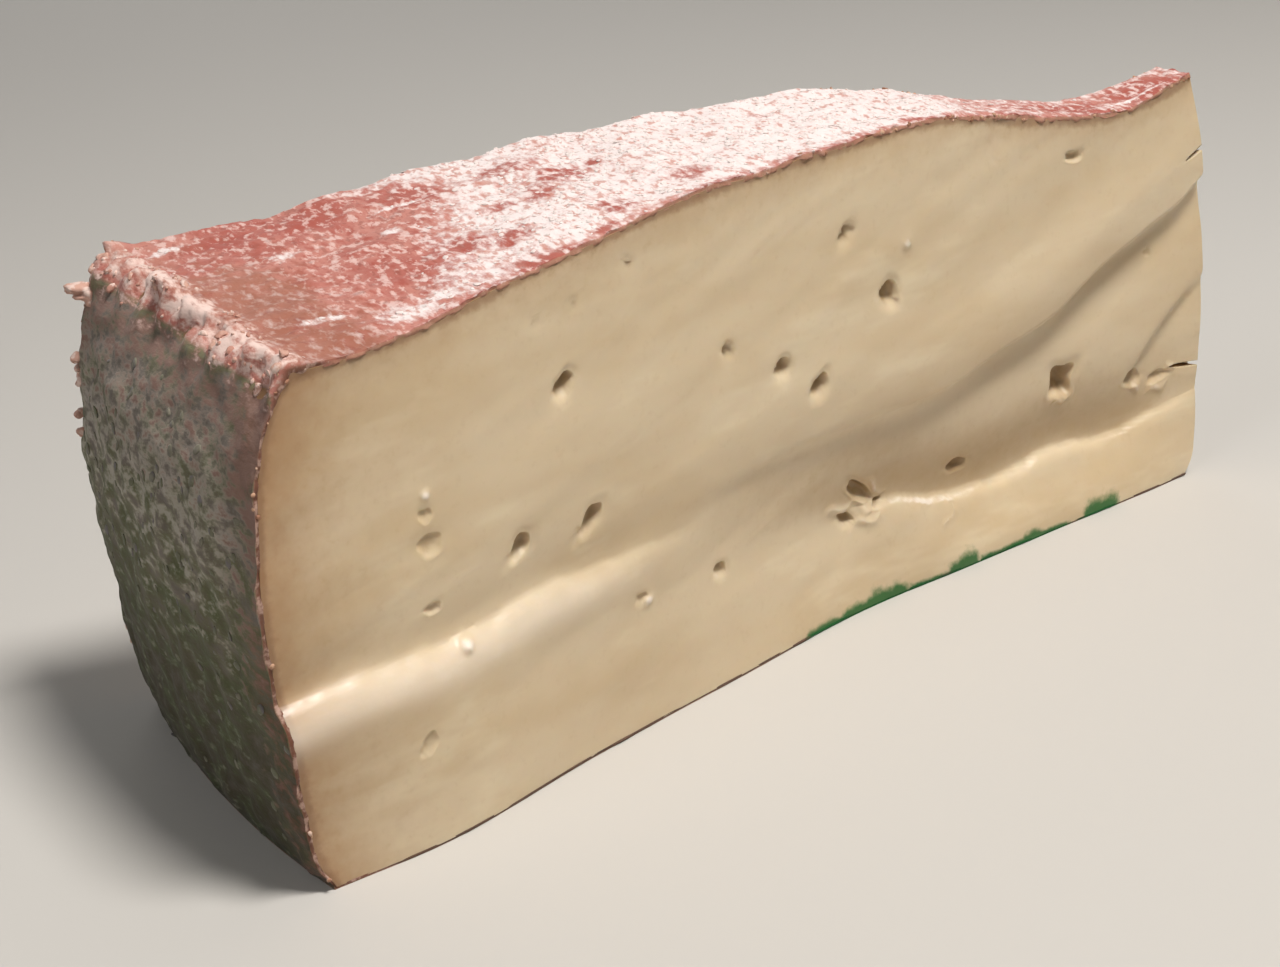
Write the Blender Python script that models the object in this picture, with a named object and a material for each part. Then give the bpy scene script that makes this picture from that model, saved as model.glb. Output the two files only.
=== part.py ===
"""A wedge of fontina cheese with its rind, cut from a wheel and standing on its flat side.

Metres, +Z up. The blunt tip points along +X, the rind heel faces -X and the cut face with the
deep folds faces -Y. The whole wedge is one solid: the rind, the folds of the paste and the eyes
are all relief in it. It is shaped in the frame of its chord block, whose corners are the four
cut edges, and then shifted so that the origin lies under the middle of its box.
"""

import math
import random

import bmesh
import bpy
import numpy as np
from mathutils import Euler, Matrix, Vector, noise

# Chord block: a sector of the wheel with a blunt tip.
LENGTH = 0.1850
HEEL_WIDTH = 0.0704
TIP_WIDTH = 0.0080
HEEL_HEIGHT = 0.0733

# Height of the rind along the front cut edge, as (x, z), and how much higher the back edge is.
TOP_LINE = (
    (-0.0925, 0.0735), (-0.0690, 0.0737), (-0.0440, 0.0772), (-0.0200, 0.0796), (0.0080, 0.0800),
    (0.0320, 0.0796), (0.0560, 0.0742), (0.0720, 0.0718), (0.0860, 0.0730), (0.0950, 0.0750),
)
BACK_RISE = ((-0.0925, 0.0010), (-0.0750, 0.0020), (-0.0300, 0.0006), (0.0300, 0.0006), (0.0700, 0.0))

# Heel: how far the rind stands out past the chord at each height, and the arc of the wheel.
HEEL_PROFILE = (
    (0.0, -0.0002), (0.0040, 0.0014), (0.0120, 0.0024), (0.0260, 0.0034), (0.0390, 0.0040),
    (0.0520, 0.0032), (0.0620, 0.0013), (0.0680, -0.0008), (0.0710, -0.0026), (0.0733, -0.0056),
)
HEEL_ARC = 0.0029
ARC_FADES_FROM = 0.0560
HEEL_BLEND = 0.0300
TIP_PROFILE = (
    (0.0, -0.0014), (0.0030, 0.0006), (0.0070, 0.0017), (0.0150, 0.0028), (0.0320, 0.0036),
    (0.0500, 0.0028), (0.0620, 0.0014), (0.0733, -0.0010),
)
TIP_BLEND = 0.0120

# Front cut face: how far it bows out (+) or in (-) along the bottom and along the top.
BOTTOM_BOW = (
    (-0.0925, 0.0), (-0.0750, 0.0017), (-0.0450, -0.0014), (-0.0150, -0.0038),
    (0.0100, -0.0056), (0.0450, -0.0039), (0.0925, 0.0),
)
TOP_BOW = ((-0.0925, 0.0), (-0.0400, -0.0008), (0.0100, -0.0018), (0.0600, -0.0012), (0.0925, 0.0))
BOW_FROM, BOW_TO = 0.0080, 0.0480

# The valley that runs the length of the face, above a foot that flares out again.
VALLEY_LINE = (
    (-0.0950, 0.0210), (-0.0550, 0.0218), (-0.0340, 0.0212), (0.0020, 0.0194), (0.0220, 0.0165),
    (0.0340, 0.0131), (0.0460, 0.0117), (0.0600, 0.0132), (0.0780, 0.0120), (0.0920, 0.0155),
)
VALLEY_DEPTH = (
    (-0.0950, 0.0), (-0.0600, 0.0010), (-0.0200, 0.0010), (0.0150, 0.0018),
    (0.0450, 0.0028), (0.0800, 0.0022), (0.0950, 0.0006),
)
VALLEY_ABOVE = 0.0100
VALLEY_BELOW = 0.0065

# Ledge on the left and lip of the foot on the right: a crease, with the paste below flaring out.
LEDGE_LINE = ((-0.0950, 0.0280), (-0.0860, 0.0293), (-0.0690, 0.0286), (-0.0540, 0.0299), (-0.0320, 0.0290))
LEDGE_HEIGHT = ((-0.0950, 0.0030), (-0.0700, 0.0029), (-0.0450, 0.0023), (-0.0300, 0.0010), (-0.0180, 0.0))
LEDGE_RUN = 0.0026
LEDGE_FADE = 0.0130
LIP_HEIGHT = ((0.0120, 0.0), (0.0200, 0.0016), (0.0500, 0.0022), (0.0850, 0.0012), (0.0950, 0.0))
LIP_RUN = 0.0016
LIP_FADE = 0.0110

# The long fold that climbs to the tip. Below its line the paste lies further in.
FOLD_LINE = (
    (-0.0200, 0.0330), (0.0110, 0.0343), (0.0333, 0.0342), (0.0450, 0.0371),
    (0.0570, 0.0396), (0.0690, 0.0452), (0.0810, 0.0492), (0.0890, 0.0526), (0.0950, 0.0580),
)
FOLD_DROP = (
    (-0.0200, 0.0), (0.0080, 0.0008), (0.0310, 0.0016), (0.0600, 0.0024), (0.0820, 0.0020), (0.0950, 0.0012),
)
FOLD_RUN = ((-0.0200, 0.0060), (0.0310, 0.0045), (0.0600, 0.0028), (0.0950, 0.0024))
FOLD_CREST_SHARE = 0.35
FOLD_CREST_WIDTH = 0.0070

# A second, shorter crease between the fold and the foot at the tip, from its high end down.
CREASE_HIGH = (0.0955, 0.0405)
CREASE_LOW = (0.0775, 0.0205)
CREASE_DROP = 0.0011
CREASE_RUN = 0.0016
CREASE_FADE = 0.0060
CREASE_START_SHARE = 0.3

# Back cut face: one shallow sweep of the knife.
BACK_SWEEP = 0.0014
BACK_SWEEP_LENGTH = 0.1300

# Roughness of the rind, as height and distance between bumps.
RIND_BUMP, RIND_PITCH, RIND_SEED = 0.0007, 0.0090, 3.0
LIP_BUMP, LIP_PITCH, LIP_SEED = 0.0014, 0.0060, 7.0
LIP_FROM = 0.0620

# Eyes on the front face: x, z, width, height, depth.
EYES = (
    (-0.0453, 0.0583, 0.0030, 0.0043, 0.0024), (-0.0150, 0.0544, 0.0024, 0.0026, 0.0015),
    (-0.0039, 0.0483, 0.0035, 0.0037, 0.0022), (0.0034, 0.0432, 0.0039, 0.0044, 0.0026),
    (0.0195, 0.0537, 0.0037, 0.0048, 0.0030), (0.0106, 0.0657, 0.0030, 0.0036, 0.0016),
    (0.0618, 0.0260, 0.0062, 0.0058, 0.0042), (0.0378, 0.0175, 0.0048, 0.0022, 0.0018),
    (0.0083, 0.0190, 0.0062, 0.0028, 0.0020), (0.0148, 0.0190, 0.0064, 0.0042, 0.0030),
    (0.0190, 0.0154, 0.0048, 0.0024, 0.0020), (-0.0425, 0.0371, 0.0034, 0.0052, 0.0026),
    (-0.0554, 0.0375, 0.0044, 0.0034, 0.0026), (-0.0704, 0.0477, 0.0027, 0.0026, 0.0014),
    (-0.0709, 0.0341, 0.0024, 0.0020, 0.0013), (-0.0175, 0.0190, 0.0036, 0.0022, 0.0015),
    (-0.0753, 0.0160, 0.0038, 0.0028, 0.0013), (0.0624, 0.0661, 0.0042, 0.0017, 0.0015),
    (0.0810, 0.0205, 0.0078, 0.0040, 0.0020),
)
BACK_EYES = 14
BACK_EYE_SIZE = (0.0026, 0.0050)
BACK_EYE_DEPTH_SHARE = 0.6
BACK_EYE_HEIGHT_SHARE = (0.6, 1.1)
BACK_EYE_SPREAD = (0.2, 0.8)
BACK_EYE_MARGIN = 0.0110
EYE_LEAN = math.radians(28)
EYE_SEED = 11
EYE_SEGMENTS, EYE_RINGS = 10, 6

# Slits in the tip's front edge: height, length along the edge, opening, and how they rise to it.
TIP_SLITS = ((0.0612, 0.0056, 0.0011, math.radians(20)), (0.0224, 0.0062, 0.0012, math.radians(-6)))
TIP_EDGE = 0.5 * LENGTH + 0.0015

# Spacing of the grid that carries the relief, as (from, to, step).
LENGTH_BANDS = ((0.0, 0.0080, 0.0020), (0.0080, 0.1790, 0.0036), (0.1790, 0.1850, 0.0030))
HEIGHT_BANDS = (
    (0.0, 0.0120, 0.0040), (0.0120, 0.0330, 0.0023), (0.0330, 0.0640, 0.0048), (0.0640, 0.0733, 0.0023),
)
CELLS_ACROSS = 9
EDGE = 1e-6

RIND_COLOUR = (0.55, 0.25, 0.19, 1.0)
PASTE_COLOUR = (0.66, 0.51, 0.30, 1.0)
PASTE_FACES_ACROSS = 0.75
SHARP_FROM = math.radians(38)


def clear_scene():
    for thing in list(bpy.data.objects):
        bpy.data.objects.remove(thing, do_unlink=True)


def new_collection(name):
    collection = bpy.data.collections.new(name)
    bpy.context.scene.collection.children.link(collection)
    return collection


def ease(low, high, at):
    """0 up to low, 1 from high on, and a smooth step between."""
    share = np.clip((at - low) / (high - low), 0.0, 1.0)
    return share * share * (3.0 - 2.0 * share)


def smooth_curve(points, at):
    """The height of a smooth curve through the points, level past both ends."""
    places, heights = np.array(points).T
    slopes = np.gradient(heights, places)
    first = np.clip(np.searchsorted(places, at) - 1, 0, len(places) - 2)
    run = places[first + 1] - places[first]
    share = np.clip((at - places[first]) / run, 0.0, 1.0)
    rest = 1.0 - share
    start = heights[first] * (1.0 + 2.0 * share) * rest**2 + slopes[first] * run * share * rest**2
    end = heights[first + 1] * (1.0 + 2.0 * rest) * share**2 - slopes[first + 1] * run * rest * share**2
    return start + end


def bumps(places, pitch, seed):
    """Smooth noise from -1 to 1 at each place, with bumps about one pitch apart."""
    shift = Vector((seed, 0.0, 0.0))
    return np.array([noise.noise(Vector(place) / pitch + shift) for place in places])


def flare(under, run, fade):
    """0 above a crease, then steeply out below it within about one run, then gently back."""
    down = np.maximum(under, 0.0)
    return (1.0 - np.exp(-down / run)) * np.exp(-((down / fade) ** 2))


def front_relief(x, z):
    """How far the front cut face stands out of its chord plane."""
    share = ease(BOW_FROM, BOW_TO, z)
    out = smooth_curve(BOTTOM_BOW, x) * (1.0 - share) + smooth_curve(TOP_BOW, x) * share

    over_valley = z - smooth_curve(VALLEY_LINE, x)
    width = np.where(over_valley > 0.0, VALLEY_ABOVE, VALLEY_BELOW)
    out -= smooth_curve(VALLEY_DEPTH, x) * np.exp(-((over_valley / width) ** 2))
    out += smooth_curve(LIP_HEIGHT, x) * flare(-over_valley, LIP_RUN, LIP_FADE)
    under_ledge = smooth_curve(LEDGE_LINE, x) - z
    out += smooth_curve(LEDGE_HEIGHT, x) * flare(under_ledge, LEDGE_RUN, LEDGE_FADE)

    over_fold = z - smooth_curve(FOLD_LINE, x)
    run = smooth_curve(FOLD_RUN, x)
    drop = smooth_curve(FOLD_DROP, x)
    out -= drop * (1.0 - ease(-run, run, over_fold)) * ease(0.0, VALLEY_ABOVE, z)
    crest = np.exp(-(((over_fold - FOLD_CREST_WIDTH) / FOLD_CREST_WIDTH) ** 2))
    out += FOLD_CREST_SHARE * drop * crest
    return out - crease_relief(x, z)


def crease_relief(x, z):
    """How far in the paste lies to the lower right of the short crease."""
    run_x = CREASE_HIGH[0] - CREASE_LOW[0]
    run_z = CREASE_HIGH[1] - CREASE_LOW[1]
    length = math.hypot(run_x, run_z)
    past = ((x - CREASE_LOW[0]) * run_z - (z - CREASE_LOW[1]) * run_x) / length
    reach = ((x - CREASE_LOW[0]) * run_x + (z - CREASE_LOW[1]) * run_z) / length
    fade = ease(0.0, CREASE_START_SHARE * length, reach) * np.exp(-np.maximum(past, 0.0) / CREASE_FADE)
    return CREASE_DROP * ease(-CREASE_RUN, CREASE_RUN, past) * fade


def back_relief(x, z):
    """How far the back cut face stands out of its chord plane."""
    sweep = np.sin(2.0 * np.pi * (x + 0.5 * z) / BACK_SWEEP_LENGTH)
    return BACK_SWEEP * sweep * ease(0.0, 0.5 * HEEL_HEIGHT, z)


def wedge_points(shares):
    """Places in the chord block for shares (along, across, up) of it, from 0 to 1."""
    along, across, up = shares.T
    x = (along - 0.5) * LENGTH
    z = up * (smooth_curve(TOP_LINE, x) + across * smooth_curve(BACK_RISE, x))
    half = 0.5 * (HEEL_WIDTH + (TIP_WIDTH - HEEL_WIDTH) * along)
    y = (2.0 * across - 1.0) * half
    y += across * back_relief(x, z) - (1.0 - across) * front_relief(x, z)

    level = up * HEEL_HEIGHT
    arc = HEEL_ARC * (1.0 - (2.0 * across - 1.0) ** 2) * (1.0 - ease(ARC_FADES_FROM, HEEL_HEIGHT, level))
    near_heel = np.clip(1.0 - along * LENGTH / HEEL_BLEND, 0.0, 1.0) ** 2
    near_tip = np.clip(1.0 - (1.0 - along) * LENGTH / TIP_BLEND, 0.0, 1.0) ** 2
    x = x - near_heel * (smooth_curve(HEEL_PROFILE, level) + arc)
    x = x + near_tip * smooth_curve(TIP_PROFILE, level)

    on_top = up > 1.0 - EDGE
    on_heel = along < EDGE
    flat = np.column_stack([x, y, z])
    lip = on_heel * ease(LIP_FROM, HEEL_HEIGHT, level)
    rough = RIND_BUMP * bumps(flat, RIND_PITCH, RIND_SEED) + LIP_BUMP * lip * bumps(flat, LIP_PITCH, LIP_SEED)
    z = z + on_top * rough
    x = x - on_heel * (up > EDGE) * rough
    return np.column_stack([x, y, z])


def cuts_of(bands, whole):
    """Shares of the whole where the grid is cut, evenly spaced in each band."""
    places = []
    for start, end, step in bands:
        count = round((end - start) / step)
        places += [start + (end - start) * k / count for k in range(count)]
    return [place / whole for place in places[1:]]


def wedge_mesh():
    """The wedge without its eyes: a cube cut into a grid, with each point moved to its place."""
    bpy.ops.mesh.primitive_cube_add(size=1.0, location=(0.5, 0.5, 0.5))
    wedge = bpy.context.object
    wedge.data.transform(Matrix.Translation(wedge.location))
    wedge.location = (0.0, 0.0, 0.0)
    mesh = bmesh.new()
    mesh.from_mesh(wedge.data)
    across = [k / CELLS_ACROSS for k in range(1, CELLS_ACROSS)]
    cuts = (cuts_of(LENGTH_BANDS, LENGTH), across, cuts_of(HEIGHT_BANDS, HEEL_HEIGHT))
    for axis, places in enumerate(cuts):
        normal = Vector([float(axis == k) for k in range(3)])
        for place in places:
            every = mesh.verts[:] + mesh.edges[:] + mesh.faces[:]
            bmesh.ops.bisect_plane(mesh, geom=every, plane_co=normal * place, plane_no=normal)
    base = [face for face in mesh.faces if face.normal.z < -0.5]
    bmesh.ops.dissolve_faces(mesh, faces=base)
    shares = np.array([vert.co[:] for vert in mesh.verts])
    for vert, place in zip(mesh.verts, wedge_points(shares)):
        vert.co = place
    paint_faces(mesh)
    mesh.to_mesh(wedge.data)
    mesh.free()
    wedge.data.set_sharp_from_angle(angle=SHARP_FROM)
    return wedge


def paint_faces(mesh):
    """Gives the two cut faces the paste's slot, 1, and leaves the rind on slot 0."""
    mesh.normal_update()
    for face in mesh.faces:
        face.material_index = int(abs(face.normal.y) > PASTE_FACES_ACROSS)
        face.smooth = True


def material(name, colour, roughness):
    made = bpy.data.materials.new(name)
    made.use_nodes = True
    shader = made.node_tree.nodes["Principled BSDF"]
    shader.inputs["Base Color"].default_value = colour
    shader.inputs["Roughness"].default_value = roughness
    shader.inputs["Metallic"].default_value = 0.0
    return made


def face_point(x, z, front=True):
    """The place on a cut face at this x and height."""
    along = x / LENGTH + 0.5
    half = 0.5 * (HEEL_WIDTH + (TIP_WIDTH - HEEL_WIDTH) * along)
    if front:
        return Vector((x, -half - float(front_relief(np.array(x), np.array(z))), z))
    return Vector((x, half + float(back_relief(np.array(x), np.array(z))), z))


def move_to(thing, collection):
    for owner in list(thing.users_collection):
        owner.objects.unlink(thing)
    collection.objects.link(thing)


def add_cutter(name, place, size, turn, cutters):
    """An egg-shaped cutter of this size, with its middle at the place."""
    bpy.ops.mesh.primitive_uv_sphere_add(segments=EYE_SEGMENTS, ring_count=EYE_RINGS, radius=0.5)
    cutter = bpy.context.object
    cutter.name = name
    stretch = Matrix.Diagonal((*size, 1.0))
    cutter.data.transform(turn.to_matrix().to_4x4() @ stretch)
    cutter.location = place
    cutter.hide_render = True
    cutter.display_type = "WIRE"
    move_to(cutter, cutters)


def add_eyes(cutters):
    """Cutters for the eyes of both cut faces and for the slits in the tip's edge."""
    draw = random.Random(EYE_SEED)
    half_angle = math.atan2(HEEL_WIDTH - TIP_WIDTH, 2.0 * LENGTH)
    for count, (x, z, width, height, depth) in enumerate(EYES):
        turn = Euler((0.0, draw.uniform(-EYE_LEAN, EYE_LEAN), half_angle))
        add_cutter(f"eye_cutter_{count:02d}", face_point(x, z), (width, 2.0 * depth, height), turn, cutters)
    for count in range(BACK_EYES):
        share = (count + draw.uniform(*BACK_EYE_SPREAD)) / BACK_EYES
        x = (share - 0.5) * (LENGTH - 2.0 * BACK_EYE_MARGIN)
        z = draw.uniform(BACK_EYE_MARGIN, HEEL_HEIGHT - BACK_EYE_MARGIN)
        width = draw.uniform(*BACK_EYE_SIZE)
        turn = Euler((0.0, draw.uniform(-EYE_LEAN, EYE_LEAN), -half_angle))
        size = (width, 2.0 * BACK_EYE_DEPTH_SHARE * width, width * draw.uniform(*BACK_EYE_HEIGHT_SHARE))
        add_cutter(f"back_eye_cutter_{count:02d}", face_point(x, z, False), size, turn, cutters)
    for count, (z, length, opening, tilt) in enumerate(TIP_SLITS):
        turn = Euler((0.0, -tilt, 0.0))
        size = (2.0 * length, length, opening)
        add_cutter(f"slit_cutter_{count}", face_point(TIP_EDGE, z), size, turn, cutters)


def centre_on_base(objects, solid):
    """Shifts everything so that the origin lies under the middle of the solid's box."""
    corners = np.array([vert.co[:] for vert in solid.data.vertices])
    middle = 0.5 * (corners.min(axis=0) + corners.max(axis=0))
    shift = Matrix.Translation((-middle[0], -middle[1], 0.0))
    solid.data.transform(shift)
    for thing in objects:
        thing.location = shift @ thing.location


def build():
    clear_scene()
    parts = new_collection("fontina")
    cutters = new_collection("cutters")
    wedge = wedge_mesh()
    wedge.name = "fontina_wedge"
    move_to(wedge, parts)
    wedge.data.materials.append(material("washed_rind", RIND_COLOUR, 0.8))
    wedge.data.materials.append(material("cheese_paste", PASTE_COLOUR, 0.4))
    add_eyes(cutters)
    centre_on_base(list(cutters.objects), wedge)
    carve = wedge.modifiers.new("eyes", "BOOLEAN")
    carve.operation = "DIFFERENCE"
    carve.solver = "EXACT"
    carve.operand_type = "COLLECTION"
    carve.collection = cutters


build()
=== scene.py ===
"""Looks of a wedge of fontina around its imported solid: paste with eyes, washed rind, bloom and crumbs.

Metres, +Z up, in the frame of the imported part: the blunt tip points along +X, the rind heel faces
-X and the cut face with the deep folds faces -Y. Every shape is worked out in the chord block of
the wedge, whose corners are its four cut edges, and is then shifted under the middle of its box.
"""

import logging
import math
import random
from dataclasses import dataclass, field
from enum import Enum
from functools import cached_property
from typing import Any

import bmesh
import bpy
import numpy as np
from mathutils import Matrix, Vector, noise


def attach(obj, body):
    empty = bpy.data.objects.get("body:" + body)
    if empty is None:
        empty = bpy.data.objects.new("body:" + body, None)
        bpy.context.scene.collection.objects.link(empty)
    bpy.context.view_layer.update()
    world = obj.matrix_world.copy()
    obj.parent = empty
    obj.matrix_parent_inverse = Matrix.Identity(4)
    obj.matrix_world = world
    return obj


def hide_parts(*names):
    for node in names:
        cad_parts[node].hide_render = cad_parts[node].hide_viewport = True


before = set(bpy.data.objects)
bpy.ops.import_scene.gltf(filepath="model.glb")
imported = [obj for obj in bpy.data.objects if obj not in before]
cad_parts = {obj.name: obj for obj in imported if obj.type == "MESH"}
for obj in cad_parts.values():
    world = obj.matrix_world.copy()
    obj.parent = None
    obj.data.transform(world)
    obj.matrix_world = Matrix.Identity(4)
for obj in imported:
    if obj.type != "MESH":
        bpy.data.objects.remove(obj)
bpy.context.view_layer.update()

LOG = logging.getLogger("fontina")
NODE = "fontina_wedge"
BODY = "root"
PER_METRE = 1000.0
ON_EDGE = 1e-6

Curve = tuple[tuple[float, float], ...]
Triple = tuple[float, float, float]
Zones = dict[str, np.ndarray]
EVEN: Triple = (1.0, 1.0, 1.0)
DRAG_SLOPE = 0.30


class Slot(Enum):
    """The record's material slots."""

    PASTE = "cheese_paste"
    RIND = "washed_rind"
    BLOOM = "mould_bloom"


def ease(low: float, high: float, at: np.ndarray) -> np.ndarray:
    """A smooth step.

    Args:
        low: Where the step starts.
        high: Where the step ends.
        at: Places to read it at.

    Returns:
        0 up to low, 1 from high on, and smooth between.
    """
    share = np.clip((at - low) / (high - low), 0.0, 1.0)
    return share * share * (3.0 - 2.0 * share)


def smooth_curve(points: Curve, at: np.ndarray) -> np.ndarray:
    """A smooth curve through points, level past both ends.

    Args:
        points: Places and heights, in rising order of place.
        at: Places to read it at.

    Returns:
        The height of the curve at each place.
    """
    places, heights = np.array(points).T
    slopes = np.gradient(heights, places)
    first = np.clip(np.searchsorted(places, at) - 1, 0, len(places) - 2)
    run = places[first + 1] - places[first]
    share = np.clip((at - places[first]) / run, 0.0, 1.0)
    rest = 1.0 - share
    start = heights[first] * (1.0 + 2.0 * share) * rest**2 + slopes[first] * run * share * rest**2
    end = heights[first + 1] * (1.0 + 2.0 * rest) * share**2 - slopes[first + 1] * run * rest * share**2
    return start + end


def bumps(places: np.ndarray, pitch: float, seed: float) -> np.ndarray:
    """Smooth noise.

    Args:
        places: Points, one a row.
        pitch: Distance between bumps.
        seed: Shift that picks the pattern.

    Returns:
        A value from -1 to 1 at each place.
    """
    shift = Vector((seed, 0.0, 0.0))
    return np.array([noise.noise(Vector(place) / pitch + shift) for place in places])


def grit(places: np.ndarray, pitch: float, seed: float, octaves: int) -> np.ndarray:
    """Noise with finer noise on it.

    Args:
        places: Points, one a row.
        pitch: Distance between the largest bumps.
        seed: Shift that picks the pattern.
        octaves: How many sizes of bump are added up.

    Returns:
        A value of about -1 to 1 at each place.
    """
    shift = Vector((seed, 0.0, 0.0))
    return np.array([noise.fractal(Vector(place) / pitch + shift, 0.8, 2.1, octaves) for place in places])


def wobble(at: np.ndarray, pitch: float) -> np.ndarray:
    """An uneven wave, for lines that no knife or hand drew straight.

    Args:
        at: Places to read it at.
        pitch: Its longest wave.

    Returns:
        A value of about -1 to 1 at each place.
    """
    turn = 2.0 * np.pi * at / pitch
    return 0.5 * np.sin(turn) + 0.3 * np.sin(2.3 * turn + 1.3) + 0.2 * np.sin(4.1 * turn + 0.4)


def hill(off: np.ndarray, width: np.ndarray | float) -> np.ndarray:
    """1 where off is 0, falling smoothly to almost 0 at two widths from there."""
    return np.exp(-((off / width) ** 2))


def flare(under: np.ndarray, run: float, fade: float) -> np.ndarray:
    """0 above a crease, then steeply out below it within about one run, then gently back."""
    down = np.maximum(under, 0.0)
    return (1.0 - np.exp(-down / run)) * hill(down, fade)


@dataclass(frozen=True)
class WedgeForm:
    """The shape that paste and rind share. The curves are those of the solid, as (x, size).

    The runs of its creases are shorter than the solid's, whose grid is too coarse for them.
    """

    length: float = 0.1850
    heel_width: float = 0.0704
    tip_width: float = 0.0080
    heel_height: float = 0.0733
    top_line: Curve = (
        (-0.0925, 0.0735), (-0.0690, 0.0737), (-0.0440, 0.0772), (-0.0200, 0.0796), (0.0080, 0.0800),
        (0.0320, 0.0796), (0.0560, 0.0742), (0.0720, 0.0718), (0.0860, 0.0730), (0.0950, 0.0750),
    )
    back_rise: Curve = (
        (-0.0925, 0.0010), (-0.0750, 0.0020), (-0.0300, 0.0006), (0.0300, 0.0006), (0.0700, 0.0),
    )
    heel_profile: Curve = (
        (0.0, -0.0002), (0.0040, 0.0014), (0.0120, 0.0024), (0.0260, 0.0034), (0.0390, 0.0040),
        (0.0520, 0.0032), (0.0620, 0.0013), (0.0680, -0.0008), (0.0710, -0.0026), (0.0733, -0.0056),
    )
    heel_arc: float = 0.0029
    arc_fades_from: float = 0.0560
    heel_blend: float = 0.0300
    tip_profile: Curve = (
        (0.0, -0.0014), (0.0030, 0.0006), (0.0070, 0.0017), (0.0150, 0.0028), (0.0320, 0.0036),
        (0.0500, 0.0028), (0.0620, 0.0014), (0.0733, -0.0010),
    )
    tip_blend: float = 0.0120
    bottom_bow: Curve = (
        (-0.0925, 0.0), (-0.0750, 0.0017), (-0.0450, -0.0014), (-0.0150, -0.0038),
        (0.0100, -0.0056), (0.0450, -0.0039), (0.0925, 0.0),
    )
    top_bow: Curve = (
        (-0.0925, 0.0), (-0.0400, -0.0008), (0.0100, -0.0018), (0.0600, -0.0012), (0.0925, 0.0),
    )
    bow_from: float = 0.0080
    bow_to: float = 0.0480
    valley_line: Curve = (
        (-0.0950, 0.0210), (-0.0550, 0.0218), (-0.0340, 0.0212), (0.0020, 0.0194), (0.0220, 0.0165),
        (0.0340, 0.0131), (0.0460, 0.0117), (0.0600, 0.0132), (0.0780, 0.0120), (0.0920, 0.0155),
    )
    valley_depth: Curve = (
        (-0.0950, 0.0), (-0.0600, 0.0010), (-0.0200, 0.0010), (0.0150, 0.0018),
        (0.0450, 0.0028), (0.0800, 0.0022), (0.0950, 0.0006),
    )
    valley_above: float = 0.0100
    valley_below: float = 0.0065
    ledge_line: Curve = (
        (-0.0950, 0.0280), (-0.0860, 0.0293), (-0.0690, 0.0286), (-0.0540, 0.0299), (-0.0320, 0.0290),
    )
    ledge_height: Curve = (
        (-0.0950, 0.0030), (-0.0700, 0.0029), (-0.0450, 0.0023), (-0.0300, 0.0010), (-0.0180, 0.0),
    )
    ledge_run: float = 0.0024
    ledge_fade: float = 0.0120
    ledge_dip_share: float = 0.36
    ledge_dip_width: float = 0.0070
    ledge_dip_ends: tuple[float, float] = (-0.0025, 0.0045)
    lip_height: Curve = ((0.0120, 0.0), (0.0200, 0.0016), (0.0500, 0.0022), (0.0850, 0.0012), (0.0950, 0.0))
    lip_run: float = 0.0008
    lip_fade: float = 0.0110
    bead_height: Curve = (
        (0.0190, 0.0), (0.0220, 0.0005), (0.0300, 0.0008), (0.0400, 0.0006), (0.0470, 0.0001),
        (0.0570, 0.0002), (0.0640, 0.0001), (0.0700, 0.0), (0.0760, 0.0004),
        (0.0840, 0.0002), (0.0900, 0.0),
    )
    bead_width: float = 0.00042
    bead_width_pitch: float = 0.0170
    bead_height_pitch: float = 0.0230
    line_wobble: float = 0.00035
    line_pitch: float = 0.0190
    fold_line: Curve = (
        (-0.0200, 0.0330), (0.0110, 0.0343), (0.0333, 0.0342), (0.0450, 0.0371),
        (0.0570, 0.0396), (0.0690, 0.0452), (0.0810, 0.0492), (0.0890, 0.0526), (0.0950, 0.0580),
    )
    fold_drop: Curve = (
        (-0.0300, 0.0), (-0.0100, 0.0007), (0.0080, 0.0013), (0.0310, 0.0021),
        (0.0600, 0.0027), (0.0820, 0.0023), (0.0950, 0.0013),
    )
    fold_run: Curve = (
        (-0.0300, 0.0030), (0.0080, 0.0018), (0.0310, 0.0012), (0.0600, 0.0010), (0.0950, 0.0010),
    )
    fold_step_share: float = 0.60
    fold_cut_share: float = 0.62
    fold_cut_run: float = 0.0007
    fold_cut_fade: float = 0.0080
    fold_crest_share: float = 0.35
    fold_crest_width: float = 0.0070
    crease_high: tuple[float, float] = (0.0955, 0.0405)
    crease_low: tuple[float, float] = (0.0775, 0.0205)
    crease_drop: float = 0.0017
    crease_run: float = 0.0007
    crease_fade: float = 0.0075
    crease_start_share: float = 0.3
    crease_tip: tuple[float, float] = (0.0880, 0.0925)
    crease_tip_fade: float = 0.6
    back_sweep: float = 0.0014
    back_sweep_length: float = 0.1300
    drag_height: float = 0.00016
    drag_pitch: float = 0.0052
    drag_slope: float = DRAG_SLOPE
    drag_stretch: float = 0.16
    front_seed: float = 17.0
    back_seed: float = 31.0
    rind_bump: float = 0.0007
    rind_pitch: float = 0.0090
    rind_seed: float = 3.0
    lip_bump: float = 0.0014
    lip_pitch: float = 0.0060
    lip_seed: float = 7.0
    lip_from: float = 0.0620
    rough_depth: float = 0.0040
    box_steps: tuple[int, int, int] = (94, 10, 38)

    def face_half(self, x: np.ndarray | float) -> np.ndarray | float:
        """Half the width of the chord block at x."""
        return 0.5 * (self.heel_width + (self.tip_width - self.heel_width) * (x / self.length + 0.5))

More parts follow.
